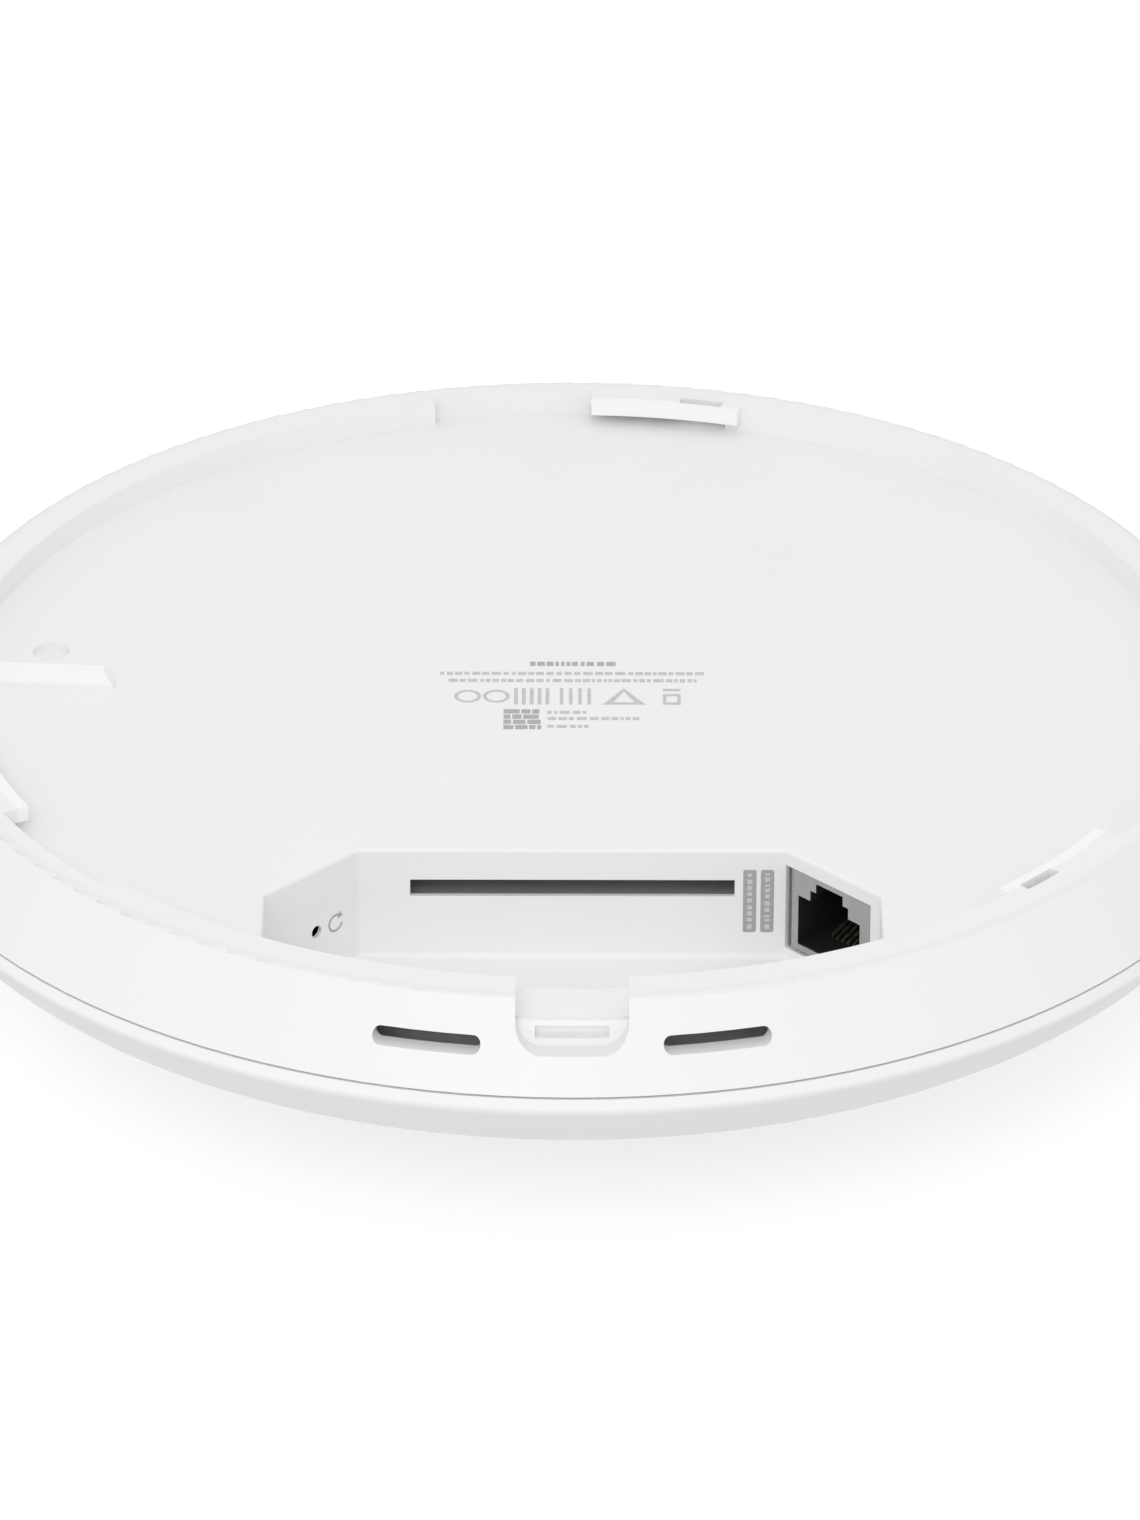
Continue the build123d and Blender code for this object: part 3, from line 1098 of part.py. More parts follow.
with BuildPart() as fan_magnet:
    with BuildSketch(Plane.XY.offset(ROTOR_BOTTOM_Z + MAGNET_LIFT)):
        with Locations(FAN_CENTRE):
            Circle(CUP_R)
            Circle(CUP_R - MAGNET_THICKNESS, mode=Mode.SUBTRACT)
    extrude(amount=MAGNET_HEIGHT)

save(fan_magnet.part, "fan_magnet")

with BuildPart() as fan_shaft:
    with BuildSketch(Plane.XY.offset(FAN_FLOOR_Z + 0.1)):
        with Locations(FAN_CENTRE):
            Circle(SHAFT_R)
    extrude(amount=ROTOR_TOP_Z - FAN_FLOOR_Z - 0.1)

save(fan_shaft.part, "fan_shaft")

with BuildPart() as fan_bearing:
    with BuildSketch(Plane.XY.offset(FAN_FLOOR_Z)):
        with Locations(FAN_CENTRE):
            Circle(BEARING_R)
            Circle(SHAFT_R + BEARING_CLEARANCE, mode=Mode.SUBTRACT)
    extrude(amount=TUBE_TOP_Z - FAN_FLOOR_Z)

save(fan_bearing.part, "fan_bearing")

with BuildPart() as fan_stator:
    with BuildSketch(Plane.XY.offset(STATOR_BOTTOM_Z)):
        with Locations(FAN_CENTRE):
            Circle(3.7)
            with PolarLocations(4.6, 4):
                Rectangle(3.4, 1.4)
        for angle in range(0, 360, 90):
            tip = sector(5.9, STATOR_R, angle - 34, angle + 34)
            add(tip.moved(Location((0, FAN_Y, 0))))
        with Locations(FAN_CENTRE):
            Circle(TUBE_R, mode=Mode.SUBTRACT)
    extrude(amount=STATOR_HEIGHT)

save(fan_stator.part, "fan_stator")

with BuildPart() as fan_coils:
    with BuildSketch(Plane.XY.offset(STATOR_BOTTOM_Z - COIL_OVERHANG)):
        with Locations(FAN_CENTRE):
            with PolarLocations(4.8, 4):
                Rectangle(1.8, 3.2)
    extrude(amount=STATOR_HEIGHT + 2 * COIL_OVERHANG)
    add(fan_stator.part, mode=Mode.SUBTRACT)

save(fan_coils.part, "fan_coils")

with BuildPart() as fan_driver_board:
    with BuildSketch(Plane.XY.offset(FAN_FLOOR_Z)):
        with Locations(FAN_CENTRE):
            Circle(STATOR_R)
            Circle(TUBE_R, mode=Mode.SUBTRACT)
    extrude(amount=FAN_BOARD_THICKNESS)

save(fan_driver_board.part, "fan_driver_board")

# lead from the blower's side to its connector on the board
FAN_LEAD_R = 0.8
FAN_LEAD_Z = BOARD_TOP_Z + 2.0
FAN_LEAD_START = (FAN_SIZE / 2, 36.0)
FAN_LEAD_END = (32.0, 48.0)
FAN_PLUG_SIZE, FAN_PLUG_HEIGHT = (6.0, 5.0), 4.0

with BuildPart() as fan_lead:
    with BuildLine(Plane.XY.offset(FAN_LEAD_Z)) as route:
        FilletPolyline(
            FAN_LEAD_START,
            (FAN_LEAD_END[0], FAN_LEAD_START[1]),
            FAN_LEAD_END,
            radius=5,
        )
    with BuildSketch(Plane(origin=route.line @ 0, z_dir=route.line % 0)):
        Circle(FAN_LEAD_R)
    sweep()

save(fan_lead.part, "fan_lead")

with BuildPart() as fan_connector:
    with BuildSketch(Plane.XY.offset(BOARD_TOP_Z)):
        with Locations(FAN_LEAD_END):
            Rectangle(*FAN_PLUG_SIZE, align=(Align.CENTER, Align.MIN))
    extrude(amount=FAN_PLUG_HEIGHT)

save(fan_connector.part, "fan_connector")
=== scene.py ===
import json
import math
import random

import bpy
from mathutils import Matrix, Vector


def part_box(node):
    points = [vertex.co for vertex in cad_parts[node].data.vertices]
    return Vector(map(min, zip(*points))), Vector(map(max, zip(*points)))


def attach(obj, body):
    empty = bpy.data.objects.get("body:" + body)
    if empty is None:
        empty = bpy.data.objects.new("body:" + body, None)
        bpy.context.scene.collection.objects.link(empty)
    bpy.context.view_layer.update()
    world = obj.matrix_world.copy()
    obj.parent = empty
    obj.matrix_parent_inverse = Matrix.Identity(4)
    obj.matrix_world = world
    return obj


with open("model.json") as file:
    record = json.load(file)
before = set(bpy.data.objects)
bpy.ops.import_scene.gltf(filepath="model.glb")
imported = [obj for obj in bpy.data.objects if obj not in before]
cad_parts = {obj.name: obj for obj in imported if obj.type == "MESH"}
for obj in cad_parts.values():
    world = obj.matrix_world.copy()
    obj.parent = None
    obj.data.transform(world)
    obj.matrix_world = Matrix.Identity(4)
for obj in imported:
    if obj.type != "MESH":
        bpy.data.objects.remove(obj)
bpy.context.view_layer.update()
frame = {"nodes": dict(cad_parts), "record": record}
nodes = frame["nodes"]
MM = 0.001

# ---------------------------------------------------------------- facts read from the frame
cover_low, cover_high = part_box("rear_cover")
dome_low, dome_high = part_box("front_dome")
duct_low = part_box("outlet_duct")[0]
plunger_low, plunger_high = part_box("reset_plunger")
mounts = {mount["name"]: mount for mount in frame["record"]["mounts"]}


# ---------------------------------------------------------------- materials
class Surface:
    """A node-based material on object coordinates, in metres, so that its grain has a real size."""

    def __init__(self, name, roughness, metallic=0.0, specular=0.5, coat=0.0):
        self.material = bpy.data.materials.new(name)
        self.material.use_nodes = True
        self.tree = self.material.node_tree
        self.shader = self.tree.nodes["Principled BSDF"]
        self.shader.inputs["Roughness"].default_value = roughness
        self.shader.inputs["Metallic"].default_value = metallic
        self.shader.inputs["Specular IOR Level"].default_value = specular
        self.shader.inputs["Coat Weight"].default_value = coat
        self.shader.inputs["Coat Roughness"].default_value = 0.25
        self.coordinates = self.add("ShaderNodeTexCoord").outputs["Object"]
        self.bump = None

    def add(self, kind, **values):
        node = self.tree.nodes.new(kind)
        for key, value in values.items():
            setattr(node, key, value)
        return node

    def join(self, output, node_input):
        self.tree.links.new(output, node_input)

    def stretched(self, stretch):
        mapping = self.add("ShaderNodeMapping")
        mapping.inputs["Scale"].default_value = stretch
        self.join(self.coordinates, mapping.inputs["Vector"])
        return mapping.outputs["Vector"]

    def noise(self, size_mm, detail=2.0, stretch=None):
        """Noise whose blobs are about size_mm across; stretch squeezes it along the axes."""
        node = self.add("ShaderNodeTexNoise")
        node.inputs["Scale"].default_value = 1.0 / (size_mm * MM)
        node.inputs["Detail"].default_value = detail
        self.join(self.stretched(stretch) if stretch else self.coordinates, node.inputs["Vector"])
        return node.outputs["Fac"]

    def spread(self, fac, low, high, start=0.3, end=0.7):
        node = self.add("ShaderNodeMapRange")
        for key, value in (("From Min", start), ("From Max", end), ("To Min", low), ("To Max", high)):
            node.inputs[key].default_value = value
        self.join(fac, node.inputs["Value"])
        return node.outputs["Result"]

    def blend(self, fac, colour_a, colour_b):
        """Colour between two colours, or colour outputs, by a factor from 0 to 1."""
        node = self.add("ShaderNodeMix", data_type="RGBA")
        self.join(fac, node.inputs["Factor"])
        for index, colour in ((6, colour_a), (7, colour_b)):
            if isinstance(colour, (tuple, list)):
                node.inputs[index].default_value = (*colour[:3], 1.0)
            else:
                self.join(colour, node.inputs[index])
        return node.outputs[2]

    def colour(self, output):
        self.join(output, self.shader.inputs["Base Color"])

    def mottle(self, colour, amount, size_mm, stretch=None):
        """Base colour that drifts by a small amount."""
        fac = self.spread(self.noise(size_mm, 3.0, stretch), 0.0, 1.0)
        dark = [c * (1 - amount) for c in colour]
        light = [min(1.0, c * (1 + amount)) for c in colour]
        out = self.blend(fac, dark, light)
        self.colour(out)
        return out

    def vary_roughness(self, low, high, size_mm, stretch=None):
        out = self.spread(self.noise(size_mm, 2.0, stretch), low, high)
        self.join(out, self.shader.inputs["Roughness"])

    def relief(self, height, depth_mm, strength=1.0):
        """Adds a bump layer under the ones before it."""
        node = self.add("ShaderNodeBump")
        node.inputs["Strength"].default_value = strength
        node.inputs["Distance"].default_value = depth_mm * MM
        self.join(height, node.inputs["Height"])
        if self.bump is not None:
            self.join(self.bump, node.inputs["Normal"])
        self.bump = node.outputs["Normal"]
        self.join(self.bump, self.shader.inputs["Normal"])


def moulded(name, colour, roughness, grain_mm=0.35, depth_mm=0.004, mottle=0.012):
    """Injection-moulded plastic with a fine spark-eroded grain and a slow flow mottle."""
    s = Surface(name, roughness)
    s.mottle(colour, mottle, 28.0)
    s.vary_roughness(roughness - 0.05, roughness + 0.05, 9.0)
    s.relief(s.noise(14.0, 1.0), depth_mm * 4, 0.25)
    s.relief(s.noise(grain_mm, 3.0), depth_mm, 0.6)
    return s.material


# Radii and heights of the painted light and shade on the housing: beyond RIM_EDGE the colour is painted
# greyer as shade, low in the bay it is painted paler as light, and on the rib and hook lips it is painted
# paler as light.
RIM_EDGE = (93.5 * MM, 95.5 * MM)                                          # radii
RECESS_WALL = (89.4 * MM, 89.8 * MM)                                       # radii
BAY_HEIGHTS = (cover_high.z - 20.0 * MM, cover_high.z - 11.0 * MM)
RAISED_HEIGHTS = (cover_high.z - 3.6 * MM, cover_high.z - 2.8 * MM)        # above the recess floor
# heights over which the painted shade on the dome's underside sets in
DOME_HEIGHTS = (dome_high.z - 6.2 * MM, dome_high.z - 4.7 * MM)
PALEST = 0.95                      # no factor takes a colour past this


def housing_plastic(name, colour, roughness):
    """Grained moulded plastic with painted light and shade: painted paler in the cable bay and on the
    hooks and rib as light, painted greyer beyond the rim as shade.
    """
    s = Surface(name, roughness)
    place = s.add("ShaderNodeSeparateXYZ")
    s.join(s.coordinates, place.inputs["Vector"])
    flat = s.add("ShaderNodeCombineXYZ")
    s.join(place.outputs["X"], flat.inputs["X"])
    s.join(place.outputs["Y"], flat.inputs["Y"])
    radius = s.add("ShaderNodeVectorMath", operation="LENGTH")
    s.join(flat.outputs["Vector"], radius.inputs[0])
    # painted shade: a mask that is 1 beyond the rim edge, on the outer wall
    painted_shade_beyond_rim = s.spread(radius.outputs["Value"], 0.0, 1.0, *RIM_EDGE)
    # painted light: low in the cable bay the colour is painted 4 % paler, lifting the shade there
    painted_light_in_bay = s.spread(place.outputs["Z"], 1.0, 0.0, *BAY_HEIGHTS)
    mottle = s.blend(s.spread(s.noise(28.0, 3.0), 0.0, 1.0), [c * 0.988 for c in colour], colour)
    inner = s.blend(painted_light_in_bay, mottle, [min(PALEST, c * 1.04) for c in colour])
    # painted light: on the rib and hook lips, within the recess wall and above the floor, the colour is
    # painted 7 % paler
    inside = s.spread(radius.outputs["Value"], 1.0, 0.0, *RECESS_WALL)
    height = s.spread(place.outputs["Z"], 0.0, 1.0, *RAISED_HEIGHTS)
    painted_light_on_rib = s.add("ShaderNodeMath", operation="MULTIPLY")
    s.join(inside, painted_light_on_rib.inputs[0])
    s.join(height, painted_light_on_rib.inputs[1])
    inner = s.blend(painted_light_on_rib.outputs["Value"], inner, [min(PALEST, c * 1.07) for c in colour])
    # painted shade: beyond the rim the colour is painted 8 % greyer
    s.colour(s.blend(painted_shade_beyond_rim, inner, [c * 0.92 for c in colour]))
    s.vary_roughness(roughness - 0.05, roughness + 0.05, 9.0)
    s.relief(s.noise(14.0, 1.0), 0.016, 0.25)
    s.relief(s.noise(0.35, 3.0), 0.004, 0.6)
    return s.material


def domed(name, colour, roughness, shade):
    """Smooth moulded plastic, painted greyer below the band at the top of the dome as shade on the
    underside.
    """
    s = Surface(name, roughness)
    place = s.add("ShaderNodeSeparateXYZ")
    s.join(s.coordinates, place.inputs["Vector"])
    # painted shade: below the band the colour darkens to the shade factor, standing for shade on the
    # underside of the dome
    low = s.spread(place.outputs["Z"], 1.0, 0.0, *DOME_HEIGHTS)
    mottle = s.blend(s.spread(s.noise(28.0, 3.0), 0.0, 1.0), [c * 0.99 for c in colour], colour)
    s.colour(s.blend(low, mottle, [c * shade for c in colour]))
    s.vary_roughness(roughness - 0.05, roughness + 0.05, 9.0)
    s.relief(s.noise(14.0, 1.0), 0.008, 0.25)
    s.relief(s.noise(0.5, 3.0), 0.002, 0.6)
    return s.material


def metal(name, colour, roughness, stretch, size_mm=0.5, depth_mm=0.004, mottle=0.06, metallic=1.0):
    """Metal with fine lines along one axis, or an even grain where the stretch is even."""
    s = Surface(name, roughness, metallic=metallic)
    s.mottle(colour, mottle, 6.0, stretch)
    s.vary_roughness(roughness - 0.08, roughness + 0.10, 1.2, stretch)
    s.relief(s.noise(size_mm, 3.0, stretch), depth_mm)
    return s.material


def circuit_board(name):
    """Solder mask over copper tracks, with plated vias."""
    s = Surface(name, 0.35, coat=0.3)
    tracks = s.add("ShaderNodeTexVoronoi", feature="DISTANCE_TO_EDGE")
    tracks.inputs["Scale"].default_value = 1 / (5.0 * MM)
    s.join(s.coordinates, tracks.inputs["Vector"])
    line = s.spread(tracks.outputs["Distance"], 1.0, 0.0, 0.03, 0.06)
    vias = s.add("ShaderNodeTexVoronoi")
    vias.inputs["Scale"].default_value = 1 / (3.2 * MM)
    s.join(s.coordinates, vias.inputs["Vector"])
    dot = s.spread(vias.outputs["Distance"], 1.0, 0.0, 0.10, 0.13)
    mask = s.blend(s.spread(s.noise(18.0), 0, 1), (0.012, 0.085, 0.040), (0.018, 0.115, 0.055))
    copper = s.blend(line, mask, (0.035, 0.20, 0.085))
    s.colour(s.blend(dot, copper, (0.62, 0.58, 0.42)))
    s.relief(line, 0.02, 0.6)
    s.vary_roughness(0.28, 0.42, 4.0)
    return s.material


def winding(name, colour, pitch_mm):
    """Closely wound enamelled wire."""
    s = Surface(name, 0.28, metallic=0.85, coat=0.5)
    wave = s.add("ShaderNodeTexWave", bands_direction="Z")
    wave.inputs["Scale"].default_value = 2 * math.pi / (20 * pitch_mm * MM)
    wave.inputs["Distortion"].default_value = 0.6
    s.join(s.coordinates, wave.inputs["Vector"])
    # painted shade: the dark half of each wave stands for shade in the grooves between the turns
    dark = [c * 0.35 for c in colour]
    s.colour(s.blend(wave.outputs["Fac"], dark, colour))
    s.vary_roughness(0.22, 0.36, 1.0)
    s.relief(wave.outputs["Fac"], 0.08)
    return s.material


def chip_package(name):
    """Moulded epoxy with a fine matt grain."""
    s = Surface(name, 0.55)
    s.mottle((0.020, 0.020, 0.022), 0.25, 3.0)
    s.vary_roughness(0.48, 0.64, 1.5)
    s.relief(s.noise(0.12, 4.0), 0.006)
    return s.material


def soft_pad(name, colour, roughness, speck_mm):
    """Rubber or filled silicone with specks of filler."""
    s = Surface(name, roughness, specular=0.3)
    specks = s.spread(s.noise(speck_mm, 2.0), 0, 1, 0.45, 0.62)
    s.colour(s.blend(specks, [c * 0.82 for c in colour], colour))
    s.vary_roughness(roughness - 0.06, roughness + 0.06, 1.0)
    s.relief(s.noise(speck_mm * 0.8, 3.0), 0.015)
    return s.material


def ink(name, colour):
    """Printed ink, a little uneven where it lies thin on the grain."""
    s = Surface(name, 0.55, specular=0.3)
    s.mottle(colour, 0.10, 0.5)
    s.vary_roughness(0.48, 0.62, 0.8)
    s.relief(s.noise(0.2, 2.0), 0.002)
    return s.material


def milky(name):
    """Translucent diffuser plastic."""
    s = Surface(name, 0.32)
    s.shader.inputs["Subsurface Weight"].default_value = 0.25
    s.shader.inputs["Subsurface Radius"].default_value = (0.004, 0.004, 0.004)
    s.shader.inputs["Subsurface Scale"].default_value = 1.0
    s.mottle((0.84, 0.86, 0.88), 0.02, 5.0)
    s.vary_roughness(0.26, 0.38, 3.0)
    s.relief(s.noise(0.5, 2.0), 0.004)
    return s.material


EVEN = (1.0, 1.0, 1.0)             # stretches of a metal's grain
ALONG_Z = (1.0, 1.0, 0.06)
ALONG_X = (0.06, 1.0, 1.0)
WHITE_COVER = (0.865, 0.871, 0.875)
WHITE_DOME = (0.795, 0.800, 0.806)

surfaces = {
    "white_cover": housing_plastic("white_cover", WHITE_COVER, 0.46),
    "white_dome": domed("white_dome", WHITE_DOME, 0.40, 0.78),
    "seal": soft_pad("seal", (0.45, 0.45, 0.46), 0.65, 0.4),
    "light_guide": milky("light_guide"),
    "circuit_board": circuit_board("circuit_board"),
    "led": moulded("led", (0.82, 0.78, 0.55), 0.25, 0.3, 0.004),
    "plated_steel": metal("plated_steel", (0.60, 0.61, 0.62), 0.30, EVEN, 0.3),
    "cast_aluminium": metal("cast_aluminium", (0.60, 0.61, 0.62), 0.50, EVEN, 0.9, 0.03, 0.08),
    "tinned_shield": metal("tinned_shield", (0.66, 0.67, 0.66), 0.32, ALONG_X, 0.4),
    "chip": chip_package("chip"),
    "thermal_pad": soft_pad("thermal_pad", (0.22, 0.28, 0.36), 0.75, 0.25),
    "antenna_metal": metal("antenna_metal", (0.68, 0.67, 0.63), 0.34, ALONG_X, 0.4),
    "coax": moulded("coax", (0.022, 0.022, 0.024), 0.42, 0.25, 0.006, 0.15),
    "jack_metal": metal("jack_metal", (0.45, 0.455, 0.46), 0.36, ALONG_Z, 0.25, 0.003, 0.05),
    "black_plastic": moulded("black_plastic", (0.018, 0.018, 0.019), 0.48, 0.30, 0.006, 0.15),
    "grey_plastic": moulded("grey_plastic", (0.40, 0.40, 0.405), 0.50),
    "gold_contact": metal("gold_contact", (0.42, 0.36, 0.24), 0.40, ALONG_Z, 0.15, 0.002),
    "anodised": metal("anodised", (0.050, 0.052, 0.056), 0.42, ALONG_Z, 0.3, 0.006, 0.10, 0.6),
    "ferrite": soft_pad("ferrite", (0.035, 0.035, 0.038), 0.60, 0.2),
    "winding": winding("winding", (0.62, 0.26, 0.09), 0.32),
    "capacitor_can": metal("capacitor_can", (0.16, 0.18, 0.22), 0.30, ALONG_Z, 0.4, 0.004, 0.06, 0.4),
    "magnet": soft_pad("magnet", (0.030, 0.028, 0.028), 0.55, 0.15),
    "steel": metal("steel", (0.58, 0.58, 0.59), 0.26, ALONG_Z, 0.2),
    "bearing_bronze": metal("bearing_bronze", (0.52, 0.36, 0.17), 0.42, EVEN, 0.12, 0.012, 0.18),
    "plug_plastic": moulded("plug_plastic", (0.66, 0.62, 0.48), 0.42, 0.3, 0.004, 0.03),
}

slot_of = {s["node"]: s["material_slot"] for s in frame["record"]["subparts"]}
for name, node in nodes.items():
    node.data.materials.clear()
    node.data.materials.append(surfaces[slot_of[name]])


# ---------------------------------------------------------------- printed marks on the housing
PRINT_LIFT = 0.02 * MM             # how far a printed mark stands proud of its surface


class Print:
    """Thin closed pieces that lie on a flat surface, drawn in millimetres from an origin on it."""

    def __init__(self, origin, right, up):
        self.origin, self.right, self.up = Vector(origin), Vector(right), Vector(up)
        self.normal = self.right.cross(self.up)
        self.points, self.faces = [], []

    def polygon(self, outline, lift=PRINT_LIFT):
        """A prism over an outline given anticlockwise."""
        first, count = len(self.points), len(outline)
        for height in (0.0, lift):
            for x, y in outline:
                on_surface = self.origin + self.right * x * MM + self.up * y * MM
                self.points.append(on_surface + self.normal * height)
        self.faces.append([first + count + i for i in range(count)])
        self.faces.append([first + i for i in reversed(range(count))])
        for i in range(count):
            j = (i + 1) % count
            self.faces.append([first + i, first + j, first + count + j, first + count + i])

    def bar(self, x0, y0, x1, y1, lift=PRINT_LIFT):
        self.polygon([(x0, y0), (x1, y0), (x1, y1), (x0, y1)], lift)

    def rounded(self, x0, y0, x1, y1, radius, lift=PRINT_LIFT):
        outline = []
        centres = ((x1 - radius, y1 - radius), (x0 + radius, y1 - radius))
        centres += ((x0 + radius, y0 + radius), (x1 - radius, y0 + radius))
        for quarter, (x, y) in enumerate(centres):
            for step in range(5):
                angle = math.pi / 2 * (quarter + step / 4)
                outline.append((x + radius * math.cos(angle), y + radius * math.sin(angle)))
        self.polygon(outline, lift)

    def arc(self, x, y, radius, width, start=0.0, end=360.0, steps=28):
        """A band of short pieces round a centre, between two angles in degrees."""
        for i in range(steps):
            a = math.radians(start + (end - start) * i / steps)
            b = math.radians(start + (end - start) * (i + 1) / steps)
            inner, outer = radius - width / 2, radius + width / 2
            corners = ((inner, a), (outer, a), (outer, b), (inner, b))
            self.polygon([(x + q * math.cos(t), y + q * math.sin(t)) for q, t in corners])

    def words(self, x0, x1, y, height):
        """A row of plain dashes of uneven length, in place of a line of text."""
        x = x0
        while x < x1 - 0.3:
            end = min(x1, x + layout.uniform(0.45, 1.5))
            self.bar(x, y - height / 2, end, y + height / 2)
            x = end + layout.uniform(0.22, 0.45)

    def finish(self, name, material):
        """Makes the piece, which rides on the housing."""
        mesh = bpy.data.meshes.new(name)
        mesh.from_pydata(self.points, [], self.faces)
        mesh.materials.append(material)
        piece = bpy.data.objects.new(name, mesh)
        bpy.context.scene.collection.objects.link(piece)
        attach(piece, "housing")


layout = random.Random(7)
print_dark = ink("print_dark", (0.43, 0.43, 0.44))
print_grey = ink("print_grey", (0.56, 0.565, 0.57))
label_grey = ink("label_grey", (0.40, 0.40, 0.405))
label_white = ink("label_white", (0.60, 0.605, 0.61))

RECESS_DEPTH = 3.85 * MM
floor_origin = (0.0, 0.0, cover_high.z - RECESS_DEPTH)
X, Y, Z = Vector((1, 0, 0)), Vector((0, 1, 0)), Vector((0, 0, 1))

# a bold row of dashes and a plain block of short bars on the recess floor
bold = Print(floor_origin, X, Y)
bold.words(-6.3, 6.3, 9.0, 1.3)
for row in range(4):
    x = -10.1
    while x < -4.9:
        end = min(-4.6, x + layout.uniform(0.8, 2.6))
        bold.bar(x, -6.4 - 1.6 * row, end, -5.1 - 1.6 * row)
        x = end + 0.25
bold.finish("recess_print_bold", print_dark)

# five finer rows of dashes
fine = Print(floor_origin, X, Y)
fine.words(-19.6, 19.3, 6.0, 0.95)
fine.words(-18.3, 18.2, 3.8, 0.95)
for line_y, line_end in ((-6.0, 2.0), (-7.9, 9.7), (-10.3, 2.5)):
    fine.words(-3.7, line_end, line_y, 0.9)
# plain shapes: two rings, two rows of upright bars, a triangle outline and a small box
for ring_x in (-15.4, -11.2):
    fine.arc(ring_x, -1.1, 1.7, 0.55)
for i in range(5):
    fine.bar(-8.6 + 1.15 * i, -3.6, -8.05 + 1.15 * i, 1.4)
for i in range(4):
    fine.bar(-1.9 + 1.35 * i, -3.6, -1.4 + 1.35 * i, 1.4)
fine.polygon([(4.2, -3.6), (10.8, -3.6), (10.2, -2.9), (4.8, -2.9)])
fine.polygon([(4.8, -2.9), (5.9, -2.9), (7.5, 0.4), (7.5, 1.4)])
fine.polygon([(9.1, -2.9), (10.2, -2.9), (7.5, 1.4), (7.5, 0.4)])
for box_y in (-3.6, -1.0, 0.6):
    fine.bar(13.2, box_y, 15.8, box_y + 0.7)
fine.bar(13.2, -2.9, 13.7, -1.0)
fine.bar(15.3, -2.9, 15.8, -1.0)
fine.finish("recess_print_fine", print_grey)

# two label bars on the far wall of the cable bay, with plain marks
WALL_TO_DUCT = 2.2 * MM            # the duct stands this far behind the bay side of the far wall
far_wall = (0.0, duct_low.y - WALL_TO_DUCT, 0.0)
labels = Print(far_wall, X, Z)
marks = Print(Vector(far_wall) - Y * PRINT_LIFT, X, Z)
LABEL_FOOT, LABEL_TOP, LABEL_CORNER = -17.25, -7.05, 0.35
MARKS_FOOT, MARKS_LAST, MARKS_TOP, MARKS_MARGIN = -16.7, -7.9, -7.6, 0.6
for left, right in ((24.3, 26.2), (26.8, 28.7)):
    labels.rounded(left, LABEL_FOOT, right, LABEL_TOP, LABEL_CORNER)
    y = MARKS_FOOT
    while y < MARKS_LAST:
        length = layout.uniform(0.35, 0.8)
        marks.bar(left + MARKS_MARGIN, y, right - MARKS_MARGIN, min(y + length, MARKS_TOP))
        y += length + layout.uniform(0.25, 0.5)
labels.finish("bay_labels", label_grey)
marks.finish("bay_label_marks", label_white)

# turning-arrow icon beside the reset pinhole, on the corner wall that mirrors the jack's
wall_point = Vector(mounts["network_jack"]["pos_m"])
wall_point.x = -wall_point.x
into_bay = Vector((1, -1, 0)).normalized()
along_wall = Vector((1, 1, 0)).normalized()
JACK_SET_BACK = 0.05 * MM
wall_point += into_bay * JACK_SET_BACK
plunger_mid = (plunger_low + plunger_high) / 2
pinhole = plunger_mid - into_bay * (plunger_mid - wall_point).dot(into_bay)
PINHOLE_TO_ICON = 3.7 * MM
icon = Print(pinhole + along_wall * PINHOLE_TO_ICON, along_wall, Z)
icon.arc(0, 0, 1.25, 0.34, 60, 345)
icon.polygon([(0.35, 0.55), (1.35, 0.75), (0.85, 1.65)])
icon.finish("reset_icon", label_grey)


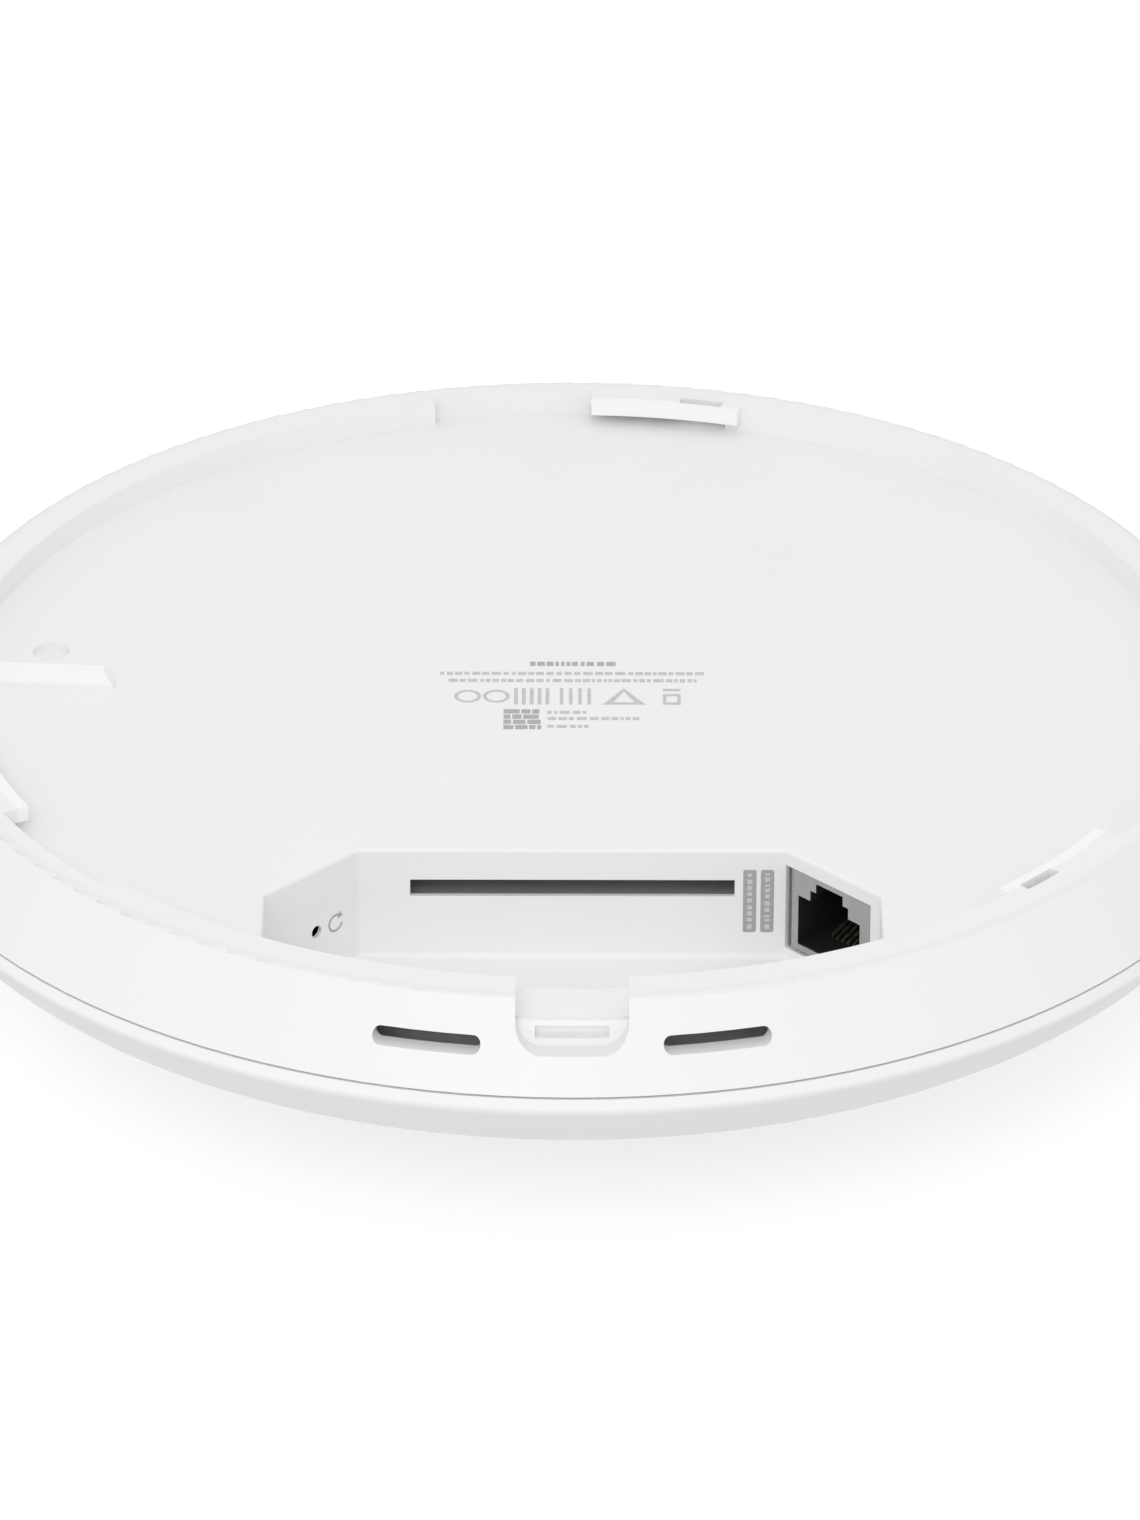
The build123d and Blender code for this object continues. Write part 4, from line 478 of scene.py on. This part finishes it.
# ---------------------------------------------------------------- camera
CAMERA_AT = Vector((0.0, -1.14629, 0.61354))
CAMERA_PITCH = math.radians(28.74)
CAMERA_ROLL = math.radians(0.122)
CAMERA_LENS = 210.27               # focal length in millimetres on a 36 mm wide sensor
CAMERA_SHIFT = -0.0017566          # sideways shift of the picture, as a share of its longer side
camera_data = bpy.data.cameras.new("camera")
camera_data.sensor_width = 36.0
camera_data.lens = CAMERA_LENS
camera_data.shift_x = CAMERA_SHIFT
camera = bpy.data.objects.new("camera", camera_data)
camera.rotation_mode = "QUATERNION"
pitch = Matrix.Rotation(math.pi / 2 - CAMERA_PITCH, 3, "X")
camera.rotation_quaternion = (pitch @ Matrix.Rotation(CAMERA_ROLL, 3, "Z")).to_quaternion()
camera.location = CAMERA_AT
camera_data.clip_start, camera_data.clip_end = 0.01, 100.0
bpy.context.scene.collection.objects.link(camera)
bpy.context.scene.camera = camera

# ---------------------------------------------------------------- floor, world and lights
bpy.context.scene.view_settings.view_transform = "Standard"

floor_mesh = bpy.data.meshes.new("floor")
FLOOR_HALF = 12.0
FLOOR_GAP = 0.1 * MM               # keeps the floor clear of the lowest point of the dome
floor_z = dome_low.z - FLOOR_GAP
corners = [(-1, -1), (1, -1), (1, 1), (-1, 1)]
floor_mesh.from_pydata([(x * FLOOR_HALF, y * FLOOR_HALF, floor_z) for x, y in corners], [], [(0, 1, 2, 3)])
floor = bpy.data.objects.new("floor", floor_mesh)
bpy.context.scene.collection.objects.link(floor)
floor_surface = Surface("floor_paper", 0.9, specular=0.1)
floor_surface.mottle((0.60, 0.60, 0.60), 0.004, 400.0)
floor_surface.shader.inputs["Emission Color"].default_value = (1.0, 1.0, 1.0, 1.0)
floor_surface.shader.inputs["Emission Strength"].default_value = 0.50
floor_mesh.materials.append(floor_surface.material)

world = bpy.data.worlds.new("studio")
world.use_nodes = True
world.node_tree.nodes["Background"].inputs["Color"].default_value = (1.0, 1.0, 1.0, 1.0)
world.node_tree.nodes["Background"].inputs["Strength"].default_value = 0.87
bpy.context.scene.world = world


def softbox(name, at, size, watts, aim=(0, 0, -0.01)):
    data = bpy.data.lights.new(name, "AREA")
    data.shape = "RECTANGLE"
    data.size, data.size_y = size
    data.energy = watts
    light = bpy.data.objects.new(name, data)
    light.location = at
    light.rotation_mode = "QUATERNION"
    light.rotation_quaternion = (Vector(at) - Vector(aim)).to_track_quat("Z", "Y")
    bpy.context.scene.collection.objects.link(light)


softbox("key_front", (-0.3, -1.6, 1.25), (1.0, 0.8), 9.0)
